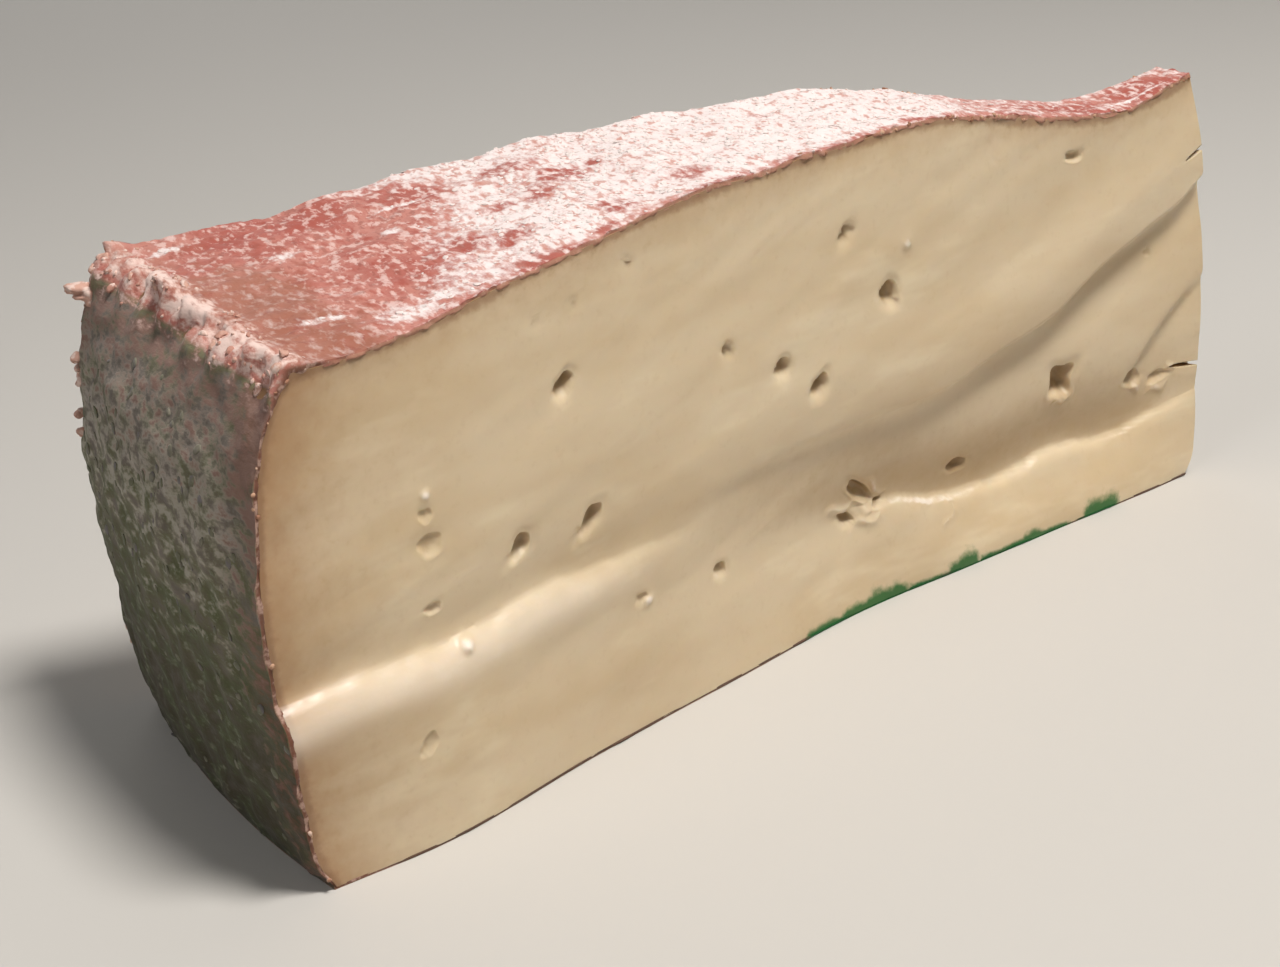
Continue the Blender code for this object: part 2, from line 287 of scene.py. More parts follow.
    def drag(self, x: np.ndarray, z: np.ndarray, seed: float) -> np.ndarray:
        """Shallow streaks that the knife left, rising towards the tip.

        Args:
            x: Places along the wedge.
            z: Heights.
            seed: Shift that picks the pattern.

        Returns:
            How far the streaks stand out at each place.
        """
        across = z - self.drag_slope * x
        places = np.column_stack([self.drag_stretch * (x + self.drag_slope * z), 0.0 * x, across])
        broad = bumps(places, 3.0 * self.drag_pitch, seed + 5.0)
        return self.drag_height * (bumps(places, self.drag_pitch, seed) + 1.5 * broad)

    def front_relief(self, x: np.ndarray, z: np.ndarray) -> np.ndarray:
        """How far the front cut face stands out of its chord plane.

        Args:
            x: Places along the wedge.
            z: Heights.

        Returns:
            The relief at each place, out of the face.
        """
        share = ease(self.bow_from, self.bow_to, z)
        out = smooth_curve(self.bottom_bow, x) * (1.0 - share) + smooth_curve(self.top_bow, x) * share
        stray = self.line_wobble * wobble(x, self.line_pitch)

        over_valley = z - smooth_curve(self.valley_line, x) - stray
        width = np.where(over_valley > 0.0, self.valley_above, self.valley_below)
        out -= smooth_curve(self.valley_depth, x) * hill(over_valley, width)
        out += smooth_curve(self.lip_height, x) * flare(-over_valley, self.lip_run, self.lip_fade)
        out += self.bead_line(x, z) * smooth_curve(self.bead_height, x)
        under_ledge = smooth_curve(self.ledge_line, x) + stray - z
        dip = self.ledge_dip_share * hill(np.maximum(-under_ledge, 0.0), self.ledge_dip_width)
        dip *= 1.0 - ease(*self.ledge_dip_ends, under_ledge)
        swell = flare(under_ledge, self.ledge_run, self.ledge_fade) - dip
        out += smooth_curve(self.ledge_height, x) * swell

        over_fold = z - smooth_curve(self.fold_line, x)
        run = smooth_curve(self.fold_run, x)
        drop = smooth_curve(self.fold_drop, x)
        step = self.fold_step_share * (1.0 - ease(-run, run, over_fold)) * ease(0.0, self.valley_above, z)
        cut = self.fold_cut_share * flare(-over_fold, self.fold_cut_run, self.fold_cut_fade)
        out -= drop * (step + cut)
        out += self.fold_crest_share * drop * hill(over_fold - self.fold_crest_width, self.fold_crest_width)
        return out - self.crease_relief(x, z)

    def bead_line(self, x: np.ndarray, z: np.ndarray) -> np.ndarray:
        """The thin torn edge along the lip.

        Args:
            x: Places along the wedge.
            z: Heights.

        Returns:
            About 1 on the edge, falling to 0 beside it.
        """
        below = smooth_curve(self.valley_line, x) + self.line_wobble * wobble(x, self.line_pitch) - z
        width = self.bead_width * (1.0 + 0.35 * wobble(x, self.bead_width_pitch))
        return hill(below - self.bead_width, width) * (0.75 + 0.35 * wobble(x, self.bead_height_pitch))

    def crease_relief(self, x: np.ndarray, z: np.ndarray) -> np.ndarray:
        """How far in the paste lies to the lower right of the short crease.

        Args:
            x: Places along the wedge.
            z: Heights.

        Returns:
            The depth at each place, into the face.
        """
        run_x = self.crease_high[0] - self.crease_low[0]
        run_z = self.crease_high[1] - self.crease_low[1]
        length = math.hypot(run_x, run_z)
        past = ((x - self.crease_low[0]) * run_z - (z - self.crease_low[1]) * run_x) / length
        reach = ((x - self.crease_low[0]) * run_x + (z - self.crease_low[1]) * run_z) / length
        fade = ease(0.0, self.crease_start_share * length, reach)
        fade *= np.exp(-np.maximum(past, 0.0) / self.crease_fade)
        fade *= 1.0 - self.crease_tip_fade * ease(*self.crease_tip, x)
        return self.crease_drop * ease(-self.crease_run, self.crease_run, past) * fade

    def back_relief(self, x: np.ndarray, z: np.ndarray) -> np.ndarray:
        """How far the back cut face stands out of its chord plane."""
        sweep = np.sin(2.0 * np.pi * (x + 0.5 * z) / self.back_sweep_length)
        return self.back_sweep * sweep * ease(0.0, 0.5 * self.heel_height, z)

    def block_points(self, shares: np.ndarray) -> np.ndarray:
        """Places in the chord block.

        Args:
            shares: Rows of shares (along, across, up) of the block, from 0 to 1.

        Returns:
            The point of each row, with the rind's coarse roughness near the rind.
        """
        along, across, up = shares.T
        x = (along - 0.5) * self.length
        z = up * (smooth_curve(self.top_line, x) + across * smooth_curve(self.back_rise, x))
        half = self.face_half(x)
        y = (2.0 * across - 1.0) * half
        y += across * (self.back_relief(x, z) + self.drag(x, z, self.back_seed))
        y -= (1.0 - across) * (self.front_relief(x, z) + self.drag(x, z, self.front_seed))

        level = up * self.heel_height
        arc = self.heel_arc * (1.0 - (2.0 * across - 1.0) ** 2)
        arc *= 1.0 - ease(self.arc_fades_from, self.heel_height, level)
        near_heel = np.clip(1.0 - along * self.length / self.heel_blend, 0.0, 1.0) ** 2
        near_tip = np.clip(1.0 - (1.0 - along) * self.length / self.tip_blend, 0.0, 1.0) ** 2
        x = x - near_heel * (smooth_curve(self.heel_profile, level) + arc)
        x = x + near_tip * smooth_curve(self.tip_profile, level)

        flat = np.column_stack([x, y, z])
        on_top = np.clip(1.0 - (1.0 - up) * self.heel_height / self.rough_depth, 0.0, 1.0)
        on_heel = np.clip(1.0 - along * self.length / self.rough_depth, 0.0, 1.0)
        lip = on_heel * ease(self.lip_from, self.heel_height, level)
        rough = self.rind_bump * bumps(flat, self.rind_pitch, self.rind_seed)
        rough += self.lip_bump * lip * bumps(flat, self.lip_pitch, self.lip_seed)
        above_floor = ease(0.0, self.rough_depth, level)
        return flat + np.column_stack([-on_heel * above_floor * rough, 0.0 * y, on_top * rough])

    @cached_property
    def middle(self) -> np.ndarray:
        """The point of the block under the middle of the wedge's box.

        Returns:
            That point, from a box round even steps over the block's skin.
        """
        steps = [np.linspace(0.0, 1.0, count) for count in self.box_steps]
        shares = np.stack(np.meshgrid(*steps, indexing="ij"), axis=-1).reshape(-1, 3)
        on_skin = (np.abs(shares - 0.5) > 0.5 - ON_EDGE).any(axis=1)
        points = self.block_points(shares[on_skin])
        middle = 0.5 * (points.min(axis=0) + points.max(axis=0))
        return np.array([middle[0], middle[1], 0.0])

    def front_point(self, x: float, z: float) -> np.ndarray:
        """The block point on the front cut face at this x and height."""
        relief = self.front_relief(np.array([x]), np.array([z]))[0]
        return np.array([x, -self.face_half(x) - relief, z])


def linear(colour: str) -> tuple[float, float, float, float]:
    """Turns a colour linear.

    Args:
        colour: An sRGB hex colour.

    Returns:
        Its linear channels, with alpha 1.
    """
    channels = [int(colour[k : k + 2], 16) / 255.0 for k in (1, 3, 5)]
    curved = [c / 12.92 if c <= 0.04045 else ((c + 0.055) / 1.055) ** 2.4 for c in channels]
    return (*curved, 1.0)


def add_node(
    tree: bpy.types.NodeTree,
    kind: str,
    settings: dict[str, Any] | None = None,
    inputs: dict[str | int, Any] | None = None,
) -> bpy.types.Node:
    """Adds one node with its settings and links.

    Args:
        tree: The tree that gets the node.
        kind: Blender's name for the kind of node.
        settings: Properties of the node by name.
        inputs: A value, or a socket to link from, for input sockets by name or number.

    Returns:
        The new node.
    """
    node = tree.nodes.new(kind)
    for name, value in (settings or {}).items():
        setattr(node, name, value)
    for key, value in (inputs or {}).items():
        if isinstance(value, bpy.types.NodeSocket):
            tree.links.new(value, node.inputs[key])
        else:
            node.inputs[key].default_value = value
    return node


@dataclass
class Pattern:
    """The noises of one material, on Object coordinates. Layers that ask for the same one share it."""

    tree: bpy.types.NodeTree
    place: bpy.types.NodeSocket
    grain: Triple = EVEN
    made: dict[tuple, bpy.types.NodeSocket] = field(default_factory=dict)

    def noise(
        self, size_mm: float, detail: float, shift: float = 0.0, stretch: Triple = EVEN, turn: float = 0.0
    ) -> bpy.types.NodeSocket:
        """Gives noise of a real size.

        Args:
            size_mm: The size of its largest blotches.
            detail: How many finer sizes are added.
            shift: Picks another part of the pattern, in metres.
            stretch: Scale of the coordinates along each axis.
            turn: Turn about the axis across the wedge, before the stretch.

        Returns:
            A socket of about 0.2 to 0.8.
        """
        stretch = tuple(own * all_over for own, all_over in zip(stretch, self.grain))
        key = (size_mm, detail, shift, stretch, turn)
        if key not in self.made:
            turned = add_node(self.tree, "ShaderNodeMapping", {"vector_type": "TEXTURE"}, {
                "Vector": self.place, "Rotation": (0.0, turn, 0.0),
            })
            moved = add_node(self.tree, "ShaderNodeMapping", None, {
                "Vector": turned.outputs[0], "Location": (shift, shift, shift), "Scale": stretch,
            })
            waves = add_node(self.tree, "ShaderNodeTexNoise", None, {
                "Vector": moved.outputs[0], "Scale": PER_METRE / size_mm,
                "Detail": detail, "Roughness": 0.6,
            })
            self.made[key] = waves.outputs[0]
        return self.made[key]


@dataclass(frozen=True)
class Mottle:
    """A blotchy mask: noise of a real size in millimetres, cut between two values."""

    size_mm: float
    low: float
    high: float
    detail: float = 3.0
    stretch: Triple = EVEN
    shift: float = 0.0

    def mask(self, pattern: Pattern) -> bpy.types.NodeSocket:
        """Builds the mask.

        Args:
            pattern: The noises of the material.

        Returns:
            A socket from 0 to 1.
        """
        ramp = add_node(pattern.tree, "ShaderNodeMapRange", {"interpolation_type": "SMOOTHSTEP"}, {
            0: pattern.noise(self.size_mm, self.detail, self.shift, self.stretch),
            1: self.low, 2: self.high, 3: 0.0, 4: 1.0,
        })
        return ramp.outputs[0]


@dataclass(frozen=True)
class Field:
    """A mask read from a vertex attribute, with its edge broken up by noise of a real size.

    A breakup below 0 takes the other side of the noise, so two fields can share one and not meet.
    Where the attribute is 0 the mask is 0, however far the noise reaches.
    """

    name: str
    size_mm: float = 1.5
    breakup: float = 0.6
    softness: float = 0.2
    detail: float = 3.0
    shift: float = 0.0

    def mask(self, pattern: Pattern) -> bpy.types.NodeSocket:
        """Builds the mask.

        Args:
            pattern: The noises of the material.

        Returns:
            A socket from 0 to 1.
        """
        tree = pattern.tree
        amount = add_node(tree, "ShaderNodeAttribute", {"attribute_name": self.name})
        waves = pattern.noise(self.size_mm, self.detail, self.shift)
        centred = add_node(tree, "ShaderNodeMath", {"operation": "SUBTRACT"}, {0: waves, 1: 0.5})
        broken = add_node(tree, "ShaderNodeMath", {"operation": "MULTIPLY_ADD"}, {
            0: centred.outputs[0], 1: 2.0 * self.breakup, 2: amount.outputs["Fac"],
        })
        present = add_node(tree, "ShaderNodeMath", {"operation": "MULTIPLY", "use_clamp": True}, {
            0: amount.outputs["Fac"], 1: 10.0,
        })
        ramp = add_node(tree, "ShaderNodeMapRange", {"interpolation_type": "SMOOTHSTEP"}, {
            0: broken.outputs[0], 1: 0.5 - self.softness, 2: 0.5 + self.softness,
            3: 0.0, 4: present.outputs[0],
        })
        return ramp.outputs[0]


@dataclass(frozen=True)
class Coat:
    """One layer of colour in a finish: what it is, where it is, and how much it covers there."""

    colour: str
    where: Mottle | Field
    cover: float = 1.0


@dataclass(frozen=True)
class Bump:
    """One size of relief in a finish."""

    size_mm: float
    height_mm: float
    detail: float = 2.0
    stretch: Triple = EVEN
    turn: float = 0.0


@dataclass(frozen=True)
class Finish:
    """A food surface: layers of colour, layers of relief, gloss, and light that seeps into it.

    gloss is the roughness from its glossiest to its dullest blotches.
    """

    name: str
    base: str
    coats: tuple[Coat, ...]
    relief: tuple[Bump, ...]
    gloss: tuple[float, float]
    gloss_size_mm: float
    grain: Triple = EVEN
    ior: float = 1.45
    seep: float = 0.0
    seep_mm: Triple = (3.0, 1.6, 0.7)
    coat_weight: float = 0.0
    coat_roughness: float = 0.3
    sheen: float = 0.0

    def colour(self, pattern: Pattern) -> bpy.types.NodeSocket:
        """Lays the coats of colour on the base, first to last.

        Args:
            pattern: The noises of the material.

        Returns:
            The socket of the finished colour.
        """
        under: Any = linear(self.base)
        for coat in self.coats:
            cover = add_node(pattern.tree, "ShaderNodeMath", {"operation": "MULTIPLY"}, {
                0: coat.where.mask(pattern), 1: coat.cover,
            })
            mixed = add_node(pattern.tree, "ShaderNodeMix", {"data_type": "RGBA"}, {
                0: cover.outputs[0], 6: under, 7: linear(coat.colour),
            })
            under = mixed.outputs[2]
        return under

    def normal(self, pattern: Pattern) -> bpy.types.NodeSocket:
        """Stacks the layers of relief, coarse to fine.

        Args:
            pattern: The noises of the material.

        Returns:
            The socket of the bumped normal.
        """
        inputs: dict[str | int, Any] = {"Strength": 1.0}
        for layer in self.relief:
            inputs["Height"] = pattern.noise(layer.size_mm, layer.detail, 0.0, layer.stretch, layer.turn)
            inputs["Distance"] = layer.height_mm / PER_METRE
            inputs["Normal"] = add_node(pattern.tree, "ShaderNodeBump", None, inputs).outputs[0]
        return inputs["Normal"]

    def material(self) -> bpy.types.Material:
        """Builds the material on Object coordinates.

        Returns:
            A new material.
        """
        made = bpy.data.materials.new(self.name)
        made.use_nodes = True
        tree = made.node_tree
        shader = tree.nodes["Principled BSDF"]
        pattern = Pattern(tree, add_node(tree, "ShaderNodeTexCoord").outputs["Object"], self.grain)
        tree.links.new(self.colour(pattern), shader.inputs["Base Color"])
        spread = add_node(tree, "ShaderNodeMapRange", None, {
            0: pattern.noise(self.gloss_size_mm, 3.0),
            1: 0.3, 2: 0.7, 3: self.gloss[0], 4: self.gloss[1],
        })
        tree.links.new(spread.outputs[0], shader.inputs["Roughness"])
        tree.links.new(self.normal(pattern), shader.inputs["Normal"])
        shader.inputs["IOR"].default_value = self.ior
        shader.inputs["Subsurface Weight"].default_value = self.seep
        shader.inputs["Subsurface Radius"].default_value = [size / PER_METRE for size in self.seep_mm]
        shader.inputs["Subsurface Scale"].default_value = 1.0
        shader.inputs["Coat Weight"].default_value = self.coat_weight
        shader.inputs["Coat Roughness"].default_value = self.coat_roughness
        shader.inputs["Sheen Weight"].default_value = self.sheen
        return made


STREAK_TURN = math.atan(DRAG_SLOPE)

# Semi-soft cow's milk paste, cut with a knife: smooth, supple and a little greasy, so light seeps
# in, the colour drifts from cream to straw, and low ridges catch a broad soft shine.
CUT_PASTE = Finish(
    name="supple_cut_paste",
    base="#DAC6A6",
    coats=(
        Coat("#C9AE85", Mottle(24.0, 0.40, 0.66, stretch=(0.5, 1.0, 1.4)), 0.5),
        Coat("#E7D7B8", Mottle(10.0, 0.52, 0.72, stretch=(0.35, 1.0, 1.3)), 0.5),
        Coat("#C2A67C", Mottle(1.5, 0.55, 0.75), 0.15),
        # Painted shade: browner paste in the long recess over the lip.
        Coat("#A98A61", Field("hollow_shade", size_mm=3.0, breakup=0.15, softness=0.5), 0.62),
        Coat("#A87D52", Field("rind_glow", size_mm=3.0, breakup=0.18, softness=0.55), 0.85),
        Coat("#8B6446", Field("rind_line", breakup=0.3, softness=0.3), 0.6),
        # Partly the eyes' own browner skin, partly painted shade: deepest in an eye, on its steep upper
        # walls and in the slits.
        Coat("#8E6A38", Field("eye", breakup=0.15, softness=0.45), 0.85),
        # Painted highlight: paler cream on the top of the ledge.
        Coat("#EBDCC9", Field("crest_highlight", size_mm=3.0, breakup=0.12, softness=0.5), 0.75),
        # Painted highlight: near white on the torn edge along the lip and on the beads of paste.
        Coat("#F2E6D8", Field("bead", breakup=0.3, softness=0.32), 0.8),
        Coat("#0B6420", Field("ink", breakup=0.3, softness=0.3), 0.95),
    ),
    relief=(
        Bump(7.0, 0.20, stretch=(0.22, 1.0, 1.0), turn=-STREAK_TURN),
        Bump(0.9, 0.030, stretch=(0.35, 1.0, 1.0), turn=-STREAK_TURN),
    ),
    gloss=(0.33, 0.52),
    gloss_size_mm=3.0,
    seep=0.22,
    seep_mm=(2.2, 1.3, 0.6),
    coat_weight=0.10,
    coat_roughness=0.26,
)

# Washed rind with a white bloom: brined and brushed on spruce boards, so it is leathery, dull and
# granular, pink to brown where wet, and chalk white where the bloom dried on it.
WASHED_RIND = Finish(
    name="brined_washed_rind",
    base="#BD7D70",
    coats=(
        Coat("#A8584C", Mottle(8.0, 0.44, 0.60, stretch=(0.8, 1.0, 1.0)), 0.7),
        Coat("#A04B3E", Field("red", breakup=1.5, softness=0.35), 0.75),
        Coat("#E4C0B6", Mottle(1.2, 0.49, 0.62), 0.6),
        Coat("#96604A", Field("tan", size_mm=3.0, breakup=0.8, softness=0.4), 0.75),
        Coat("#8A4536", Mottle(1.5, 0.44, 0.34), 0.5),
        Coat("#E9DDDA", Field("bloom", size_mm=1.2, breakup=1.2, softness=0.50), 0.97),
        Coat("#BC8070", Field("pits", 1.1, breakup=2.0, softness=0.30, detail=2.0, shift=0.4), 0.75),
        Coat("#7D785A", Field("heel", size_mm=3.0, breakup=0.1, softness=0.25), 1.0),
        # Painted shade: near black over the foot of the heel, fading upwards.
        Coat("#30290F", Field("heel_foot_shade", size_mm=3.0, breakup=0.5, softness=0.55), 0.92),
        Coat("#58653D", Field("heel_green", size_mm=3.0, breakup=1.3, softness=0.38), 0.68),
        Coat("#85757A", Field("heel_violet", size_mm=3.0, breakup=-1.3, softness=0.3), 0.6),
        Coat("#B8AFA2", Field("heel_pale", breakup=1.5, softness=0.36), 0.78),
        Coat("#453E29", Field("heel_dark", breakup=-1.2, softness=0.42), 0.55),
        Coat("#7A4A3D", Field("brown", breakup=1.5, softness=0.35), 0.75),
        Coat("#BC8A7B", Field("lip", breakup=1.0, softness=0.34), 0.9),
        Coat("#E8CFC5", Field("lip_pale", breakup=1.2, softness=0.30), 0.88),
        Coat("#AE8068", Field("cut_top", breakup=0.8, softness=0.3), 0.8),
        Coat("#68432F", Field("cut_heel", breakup=0.5, softness=0.4), 0.9),
        Coat("#C9A898", Field("cut_pale", breakup=1.6, softness=0.3), 0.7),
        # Partly the base rind's own cut edge, partly a painted contact shadow: very dark brown along the
        # foot of the cut faces.
        Coat("#5A4635", Field("cut_base_and_shadow", breakup=0.5, softness=0.3), 0.95),
        Coat("#80654C", Field("under", size_mm=3.0, breakup=0.1, softness=0.3), 0.95),
        Coat("#0A5420", Field("ink", breakup=0.5, softness=0.3), 1.0),
    ),
    relief=(
        Bump(1.5, 0.15, detail=3.0),
        Bump(0.5, 0.07, detail=2.0),
    ),
    gloss=(0.68, 0.9),
    gloss_size_mm=3.0,
    grain=(1.0, 0.5, 1.0),
    ior=1.42,
    sheen=0.08,
)

# Crumbs of rind that the knife tore off: dry, matt and granular, tan where they broke.
RIND_CRUMB = Finish(
    name="torn_rind_crumb",
    base="#C39A7E",
    coats=(
        Coat("#95654B", Field("tone", breakup=0.5, softness=0.3), 0.8),
        Coat("#E2CBBA", Mottle(1.5, 0.52, 0.66), 0.6),
    ),
    relief=(Bump(0.5, 0.05),),
    gloss=(0.65, 0.88),
    gloss_size_mm=1.5,
)

# Lumps of the heel's lip: rind folded over and dusted with bloom, so pinkish white and crumbly.
LIP_LUMP = Finish(
    name="bloomed_rind_lump",
    base="#C79C8B",
    coats=(
        Coat("#A87060", Field("tone", breakup=0.9, softness=0.25), 0.6),
        Coat("#E6D0C5", Mottle(1.5, 0.47, 0.60), 0.75),
    ),
    relief=(Bump(0.8, 0.08, detail=3.0),),
    gloss=(0.68, 0.9),
    gloss_size_mm=1.5,
)

# White bloom: dried mould, a chalky powder in low tufts that scatters light evenly.
DRY_BLOOM = Finish(
    name="chalky_white_bloom",
    base="#E9DFDB",
    coats=(Coat("#DDCAC3", Field("tone", breakup=0.5, softness=0.3), 0.5),),
    relief=(Bump(0.5, 0.05),),
    gloss=(0.8, 0.95),
    gloss_size_mm=1.5,
    sheen=0.1,
)

# Grey mould on the heel: a short dull fur of blue-grey, green and violet, worn to the brown rind.
HEEL_MOULD = Finish(
    name="grey_heel_mould",
    base="#767160",
    coats=(
        Coat("#666A4E", Field("tone", size_mm=3.0, breakup=0.8, softness=0.3), 0.6),
        Coat("#8F887A", Mottle(1.5, 0.50, 0.62), 0.5),
        Coat("#6F6570", Mottle(3.0, 0.48, 0.38), 0.6),
    ),
    relief=(Bump(0.5, 0.04),),
    gloss=(0.78, 0.95),
    gloss_size_mm=3.0,
    sheen=0.1,
)


@dataclass(frozen=True)
class Eye:
    """A hole in the paste, dragged open by the knife.

    The place is its middle on the cut face. lean turns its long way to the tip's side, power
    makes it squarer over 2, and tail is how far the knife smeared it down and to the heel.
    """

    x: float
    z: float
    width: float
    height: float
    depth: float
    lean: float = 0.0
    power: float = 2.0
    tail: float = 0.0

    def reach(self, x: np.ndarray, z: np.ndarray) -> tuple[np.ndarray, np.ndarray, np.ndarray]:
        """Reads places in the eye's own axes.

        Args:
            x: Places along the wedge.
            z: Heights.

        Returns:
            The distance from the eye's middle in shares of its uneven rim, and how far to its
            side and how far up each place is, in half widths and half heights.
        """
        turn_cos, turn_sin = math.cos(self.lean), math.sin(self.lean)
        side = ((x - self.x) * turn_cos - (z - self.z) * turn_sin) / (0.5 * self.width)
        rise = ((x - self.x) * turn_sin + (z - self.z) * turn_cos) / (0.5 * self.height)
        around = np.arctan2(rise, side)
        wave = 0.07 / (1.0 + 0.5 * (self.power - 2.0))
        uneven = 1.0 + wave * np.sin(3.0 * around + 900.0 * self.x)
        uneven += 0.6 * wave * np.sin(5.0 * around + 700.0 * self.z)
        uneven -= 0.04 * max(self.power - 2.0, 0.0) * np.cos(4.0 * around)
        distance = (np.abs(side) ** self.power + np.abs(rise) ** self.power) ** (1.0 / self.power)
        return distance / uneven, side, rise


# How far the eyes lean towards the tip.
LEAN = math.radians(38)
SLIGHT = math.radians(15)

# The eyes of the front face: x, z, width, height and depth, then lean, power and tail.
EYES = (
    Eye(-0.0453, 0.0583, 0.0030, 0.0046, 0.0024, LEAN, 2.0, 0.0010),
    Eye(-0.0150, 0.0544, 0.0024, 0.0028, 0.0015, SLIGHT),
    Eye(-0.0039, 0.0483, 0.0033, 0.0037, 0.0022, SLIGHT),
    Eye(0.0034, 0.0432, 0.0034, 0.0046, 0.0026, LEAN, 2.0, 0.0012),
    Eye(0.0195, 0.0537, 0.0037, 0.0048, 0.0030, -SLIGHT, 2.4),
    Eye(0.0106, 0.0657, 0.0024, 0.0040, 0.0016, LEAN, 2.0, 0.0015),
    Eye(0.0618, 0.0262, 0.0056, 0.0058, 0.0036, 0.12, 4.0),
    Eye(0.0378, 0.0175, 0.0048, 0.0024, 0.0018, 0.0),
    Eye(0.0150, 0.0203, 0.0078, 0.0028, 0.0022, LEAN),
    Eye(0.0118, 0.0163, 0.0046, 0.0022, 0.0017, LEAN),
    Eye(0.0192, 0.0168, 0.0030, 0.0016, 0.0012, -SLIGHT),
    Eye(-0.0425, 0.0371, 0.0030, 0.0056, 0.0021, LEAN, 2.0, 0.0032),
    Eye(-0.0554, 0.0375, 0.0030, 0.0048, 0.0020, LEAN, 2.0, 0.0030),
    Eye(-0.0704, 0.0477, 0.0024, 0.0022, 0.0006, SLIGHT),
    Eye(-0.0709, 0.0341, 0.0030, 0.0018, 0.0007, 0.0),
    Eye(-0.0175, 0.0190, 0.0030, 0.0026, 0.0013, LEAN),
    Eye(-0.0753, 0.0160, 0.0028, 0.0040, 0.0006, LEAN, 2.0, 0.0020),
    Eye(0.0624, 0.0661, 0.0042, 0.0017, 0.0010, 0.15, 2.6),
    Eye(0.0800, 0.0215, 0.0046, 0.0034, 0.0013, 0.1),
    Eye(0.0866, 0.0200, 0.0056, 0.0022, 0.0008, -0.1),
    Eye(-0.0319, 0.0725, 0.0015, 0.0018, 0.0007, LEAN),
    Eye(-0.0422, 0.0694, 0.0014, 0.0017, 0.0006, LEAN),
    Eye(-0.0487, 0.0686, 0.0013, 0.0015, 0.0006, LEAN),
    Eye(0.0442, 0.0706, 0.0017, 0.0012, 0.0008, 0.0),
    Eye(-0.0343, 0.0214, 0.0025, 0.0018, 0.0007, 0.0),
    Eye(-0.0702, 0.0434, 0.0042, 0.0034, 0.0008, 0.0),
    Eye(0.0827, 0.0441, 0.0018, 0.0014, 0.0006, 0.0),
)


@dataclass(frozen=True)
class Flap:
    """A bead of paste that stands out of the face or, where it has another end, a torn thread."""

    x: float
    z: float
    width: float
    height: float
    end_x: float | None = None
    end_z: float | None = None
    bend: float = 0.12
    taper: float = 0.75

    @property
    def torn(self) -> bool:
        """Whether it is a thread with two ends."""
        return self.end_x is not None

    def ridge(self, x: np.ndarray, z: np.ndarray) -> np.ndarray:
        """Where the flap is.

        Args:
            x: Places along the wedge.
            z: Heights.

        Returns:
            1 on the flap's line, falling to 0 beside it and thinner towards its ends.
        """
        if not self.torn:
            return hill(np.hypot(x - self.x, z - self.z), self.width)
        run_x, run_z = self.end_x - self.x, self.end_z - self.z
        length = math.hypot(run_x, run_z)
        share = np.clip(((x - self.x) * run_x + (z - self.z) * run_z) / length**2, 0.0, 1.0)
        curl = self.bend * np.sin(2.0 * np.pi * share)
        off_x = x - self.x - share * run_x + curl * run_z
        off_z = z - self.z - share * run_z - curl * run_x
        thick = 1.0 - self.taper * np.abs(2.0 * share - 1.0) ** 2
        return hill(np.hypot(off_x, off_z), self.width * thick) * thick


# The torn paste of the front face: x, z, width and height, then the other end.
FLAPS = (
    Flap(-0.0668, 0.0275, 0.0010, 0.0011),
    Flap(0.0234, 0.0612, 0.0008, 0.0005),
    Flap(-0.0276, 0.0716, 0.0006, 0.0004),
    Flap(-0.0700, 0.0505, 0.0007, 0.0004),
    Flap(-0.0330, 0.0205, 0.0009, 0.0005),
    Flap(0.0058, 0.0182, 0.0009, 0.0005, 0.0134, 0.0192),
    Flap(0.0136, 0.0190, 0.0012, 0.0006, 0.0174, 0.0162),
    Flap(0.0124, 0.0140, 0.0009, 0.0005, 0.0192, 0.0156),
    Flap(0.0154, 0.0218, 0.0007, 0.0003, 0.0212, 0.0182),
    Flap(0.0356, 0.0114, 0.0005, 0.0002, 0.0322, 0.0074),
    Flap(0.0796, 0.0194, 0.0011, 0.0004, 0.0822, 0.0196),
    Flap(0.0836, 0.0174, 0.0011, 0.0004, 0.0886, 0.0186),
    Flap(0.0885, 0.0208, 0.0009, 0.0004, 0.0905, 0.0214),
    Flap(0.0600, 0.0222, 0.0006, 0.0005, 0.0635, 0.0226),
)


@dataclass(frozen=True)
class Slit:
    """A crack in the tip's front edge: its height, length and opening, and how it rises to the edge."""

    z: float
    length: float
    opening: float
    tilt: float


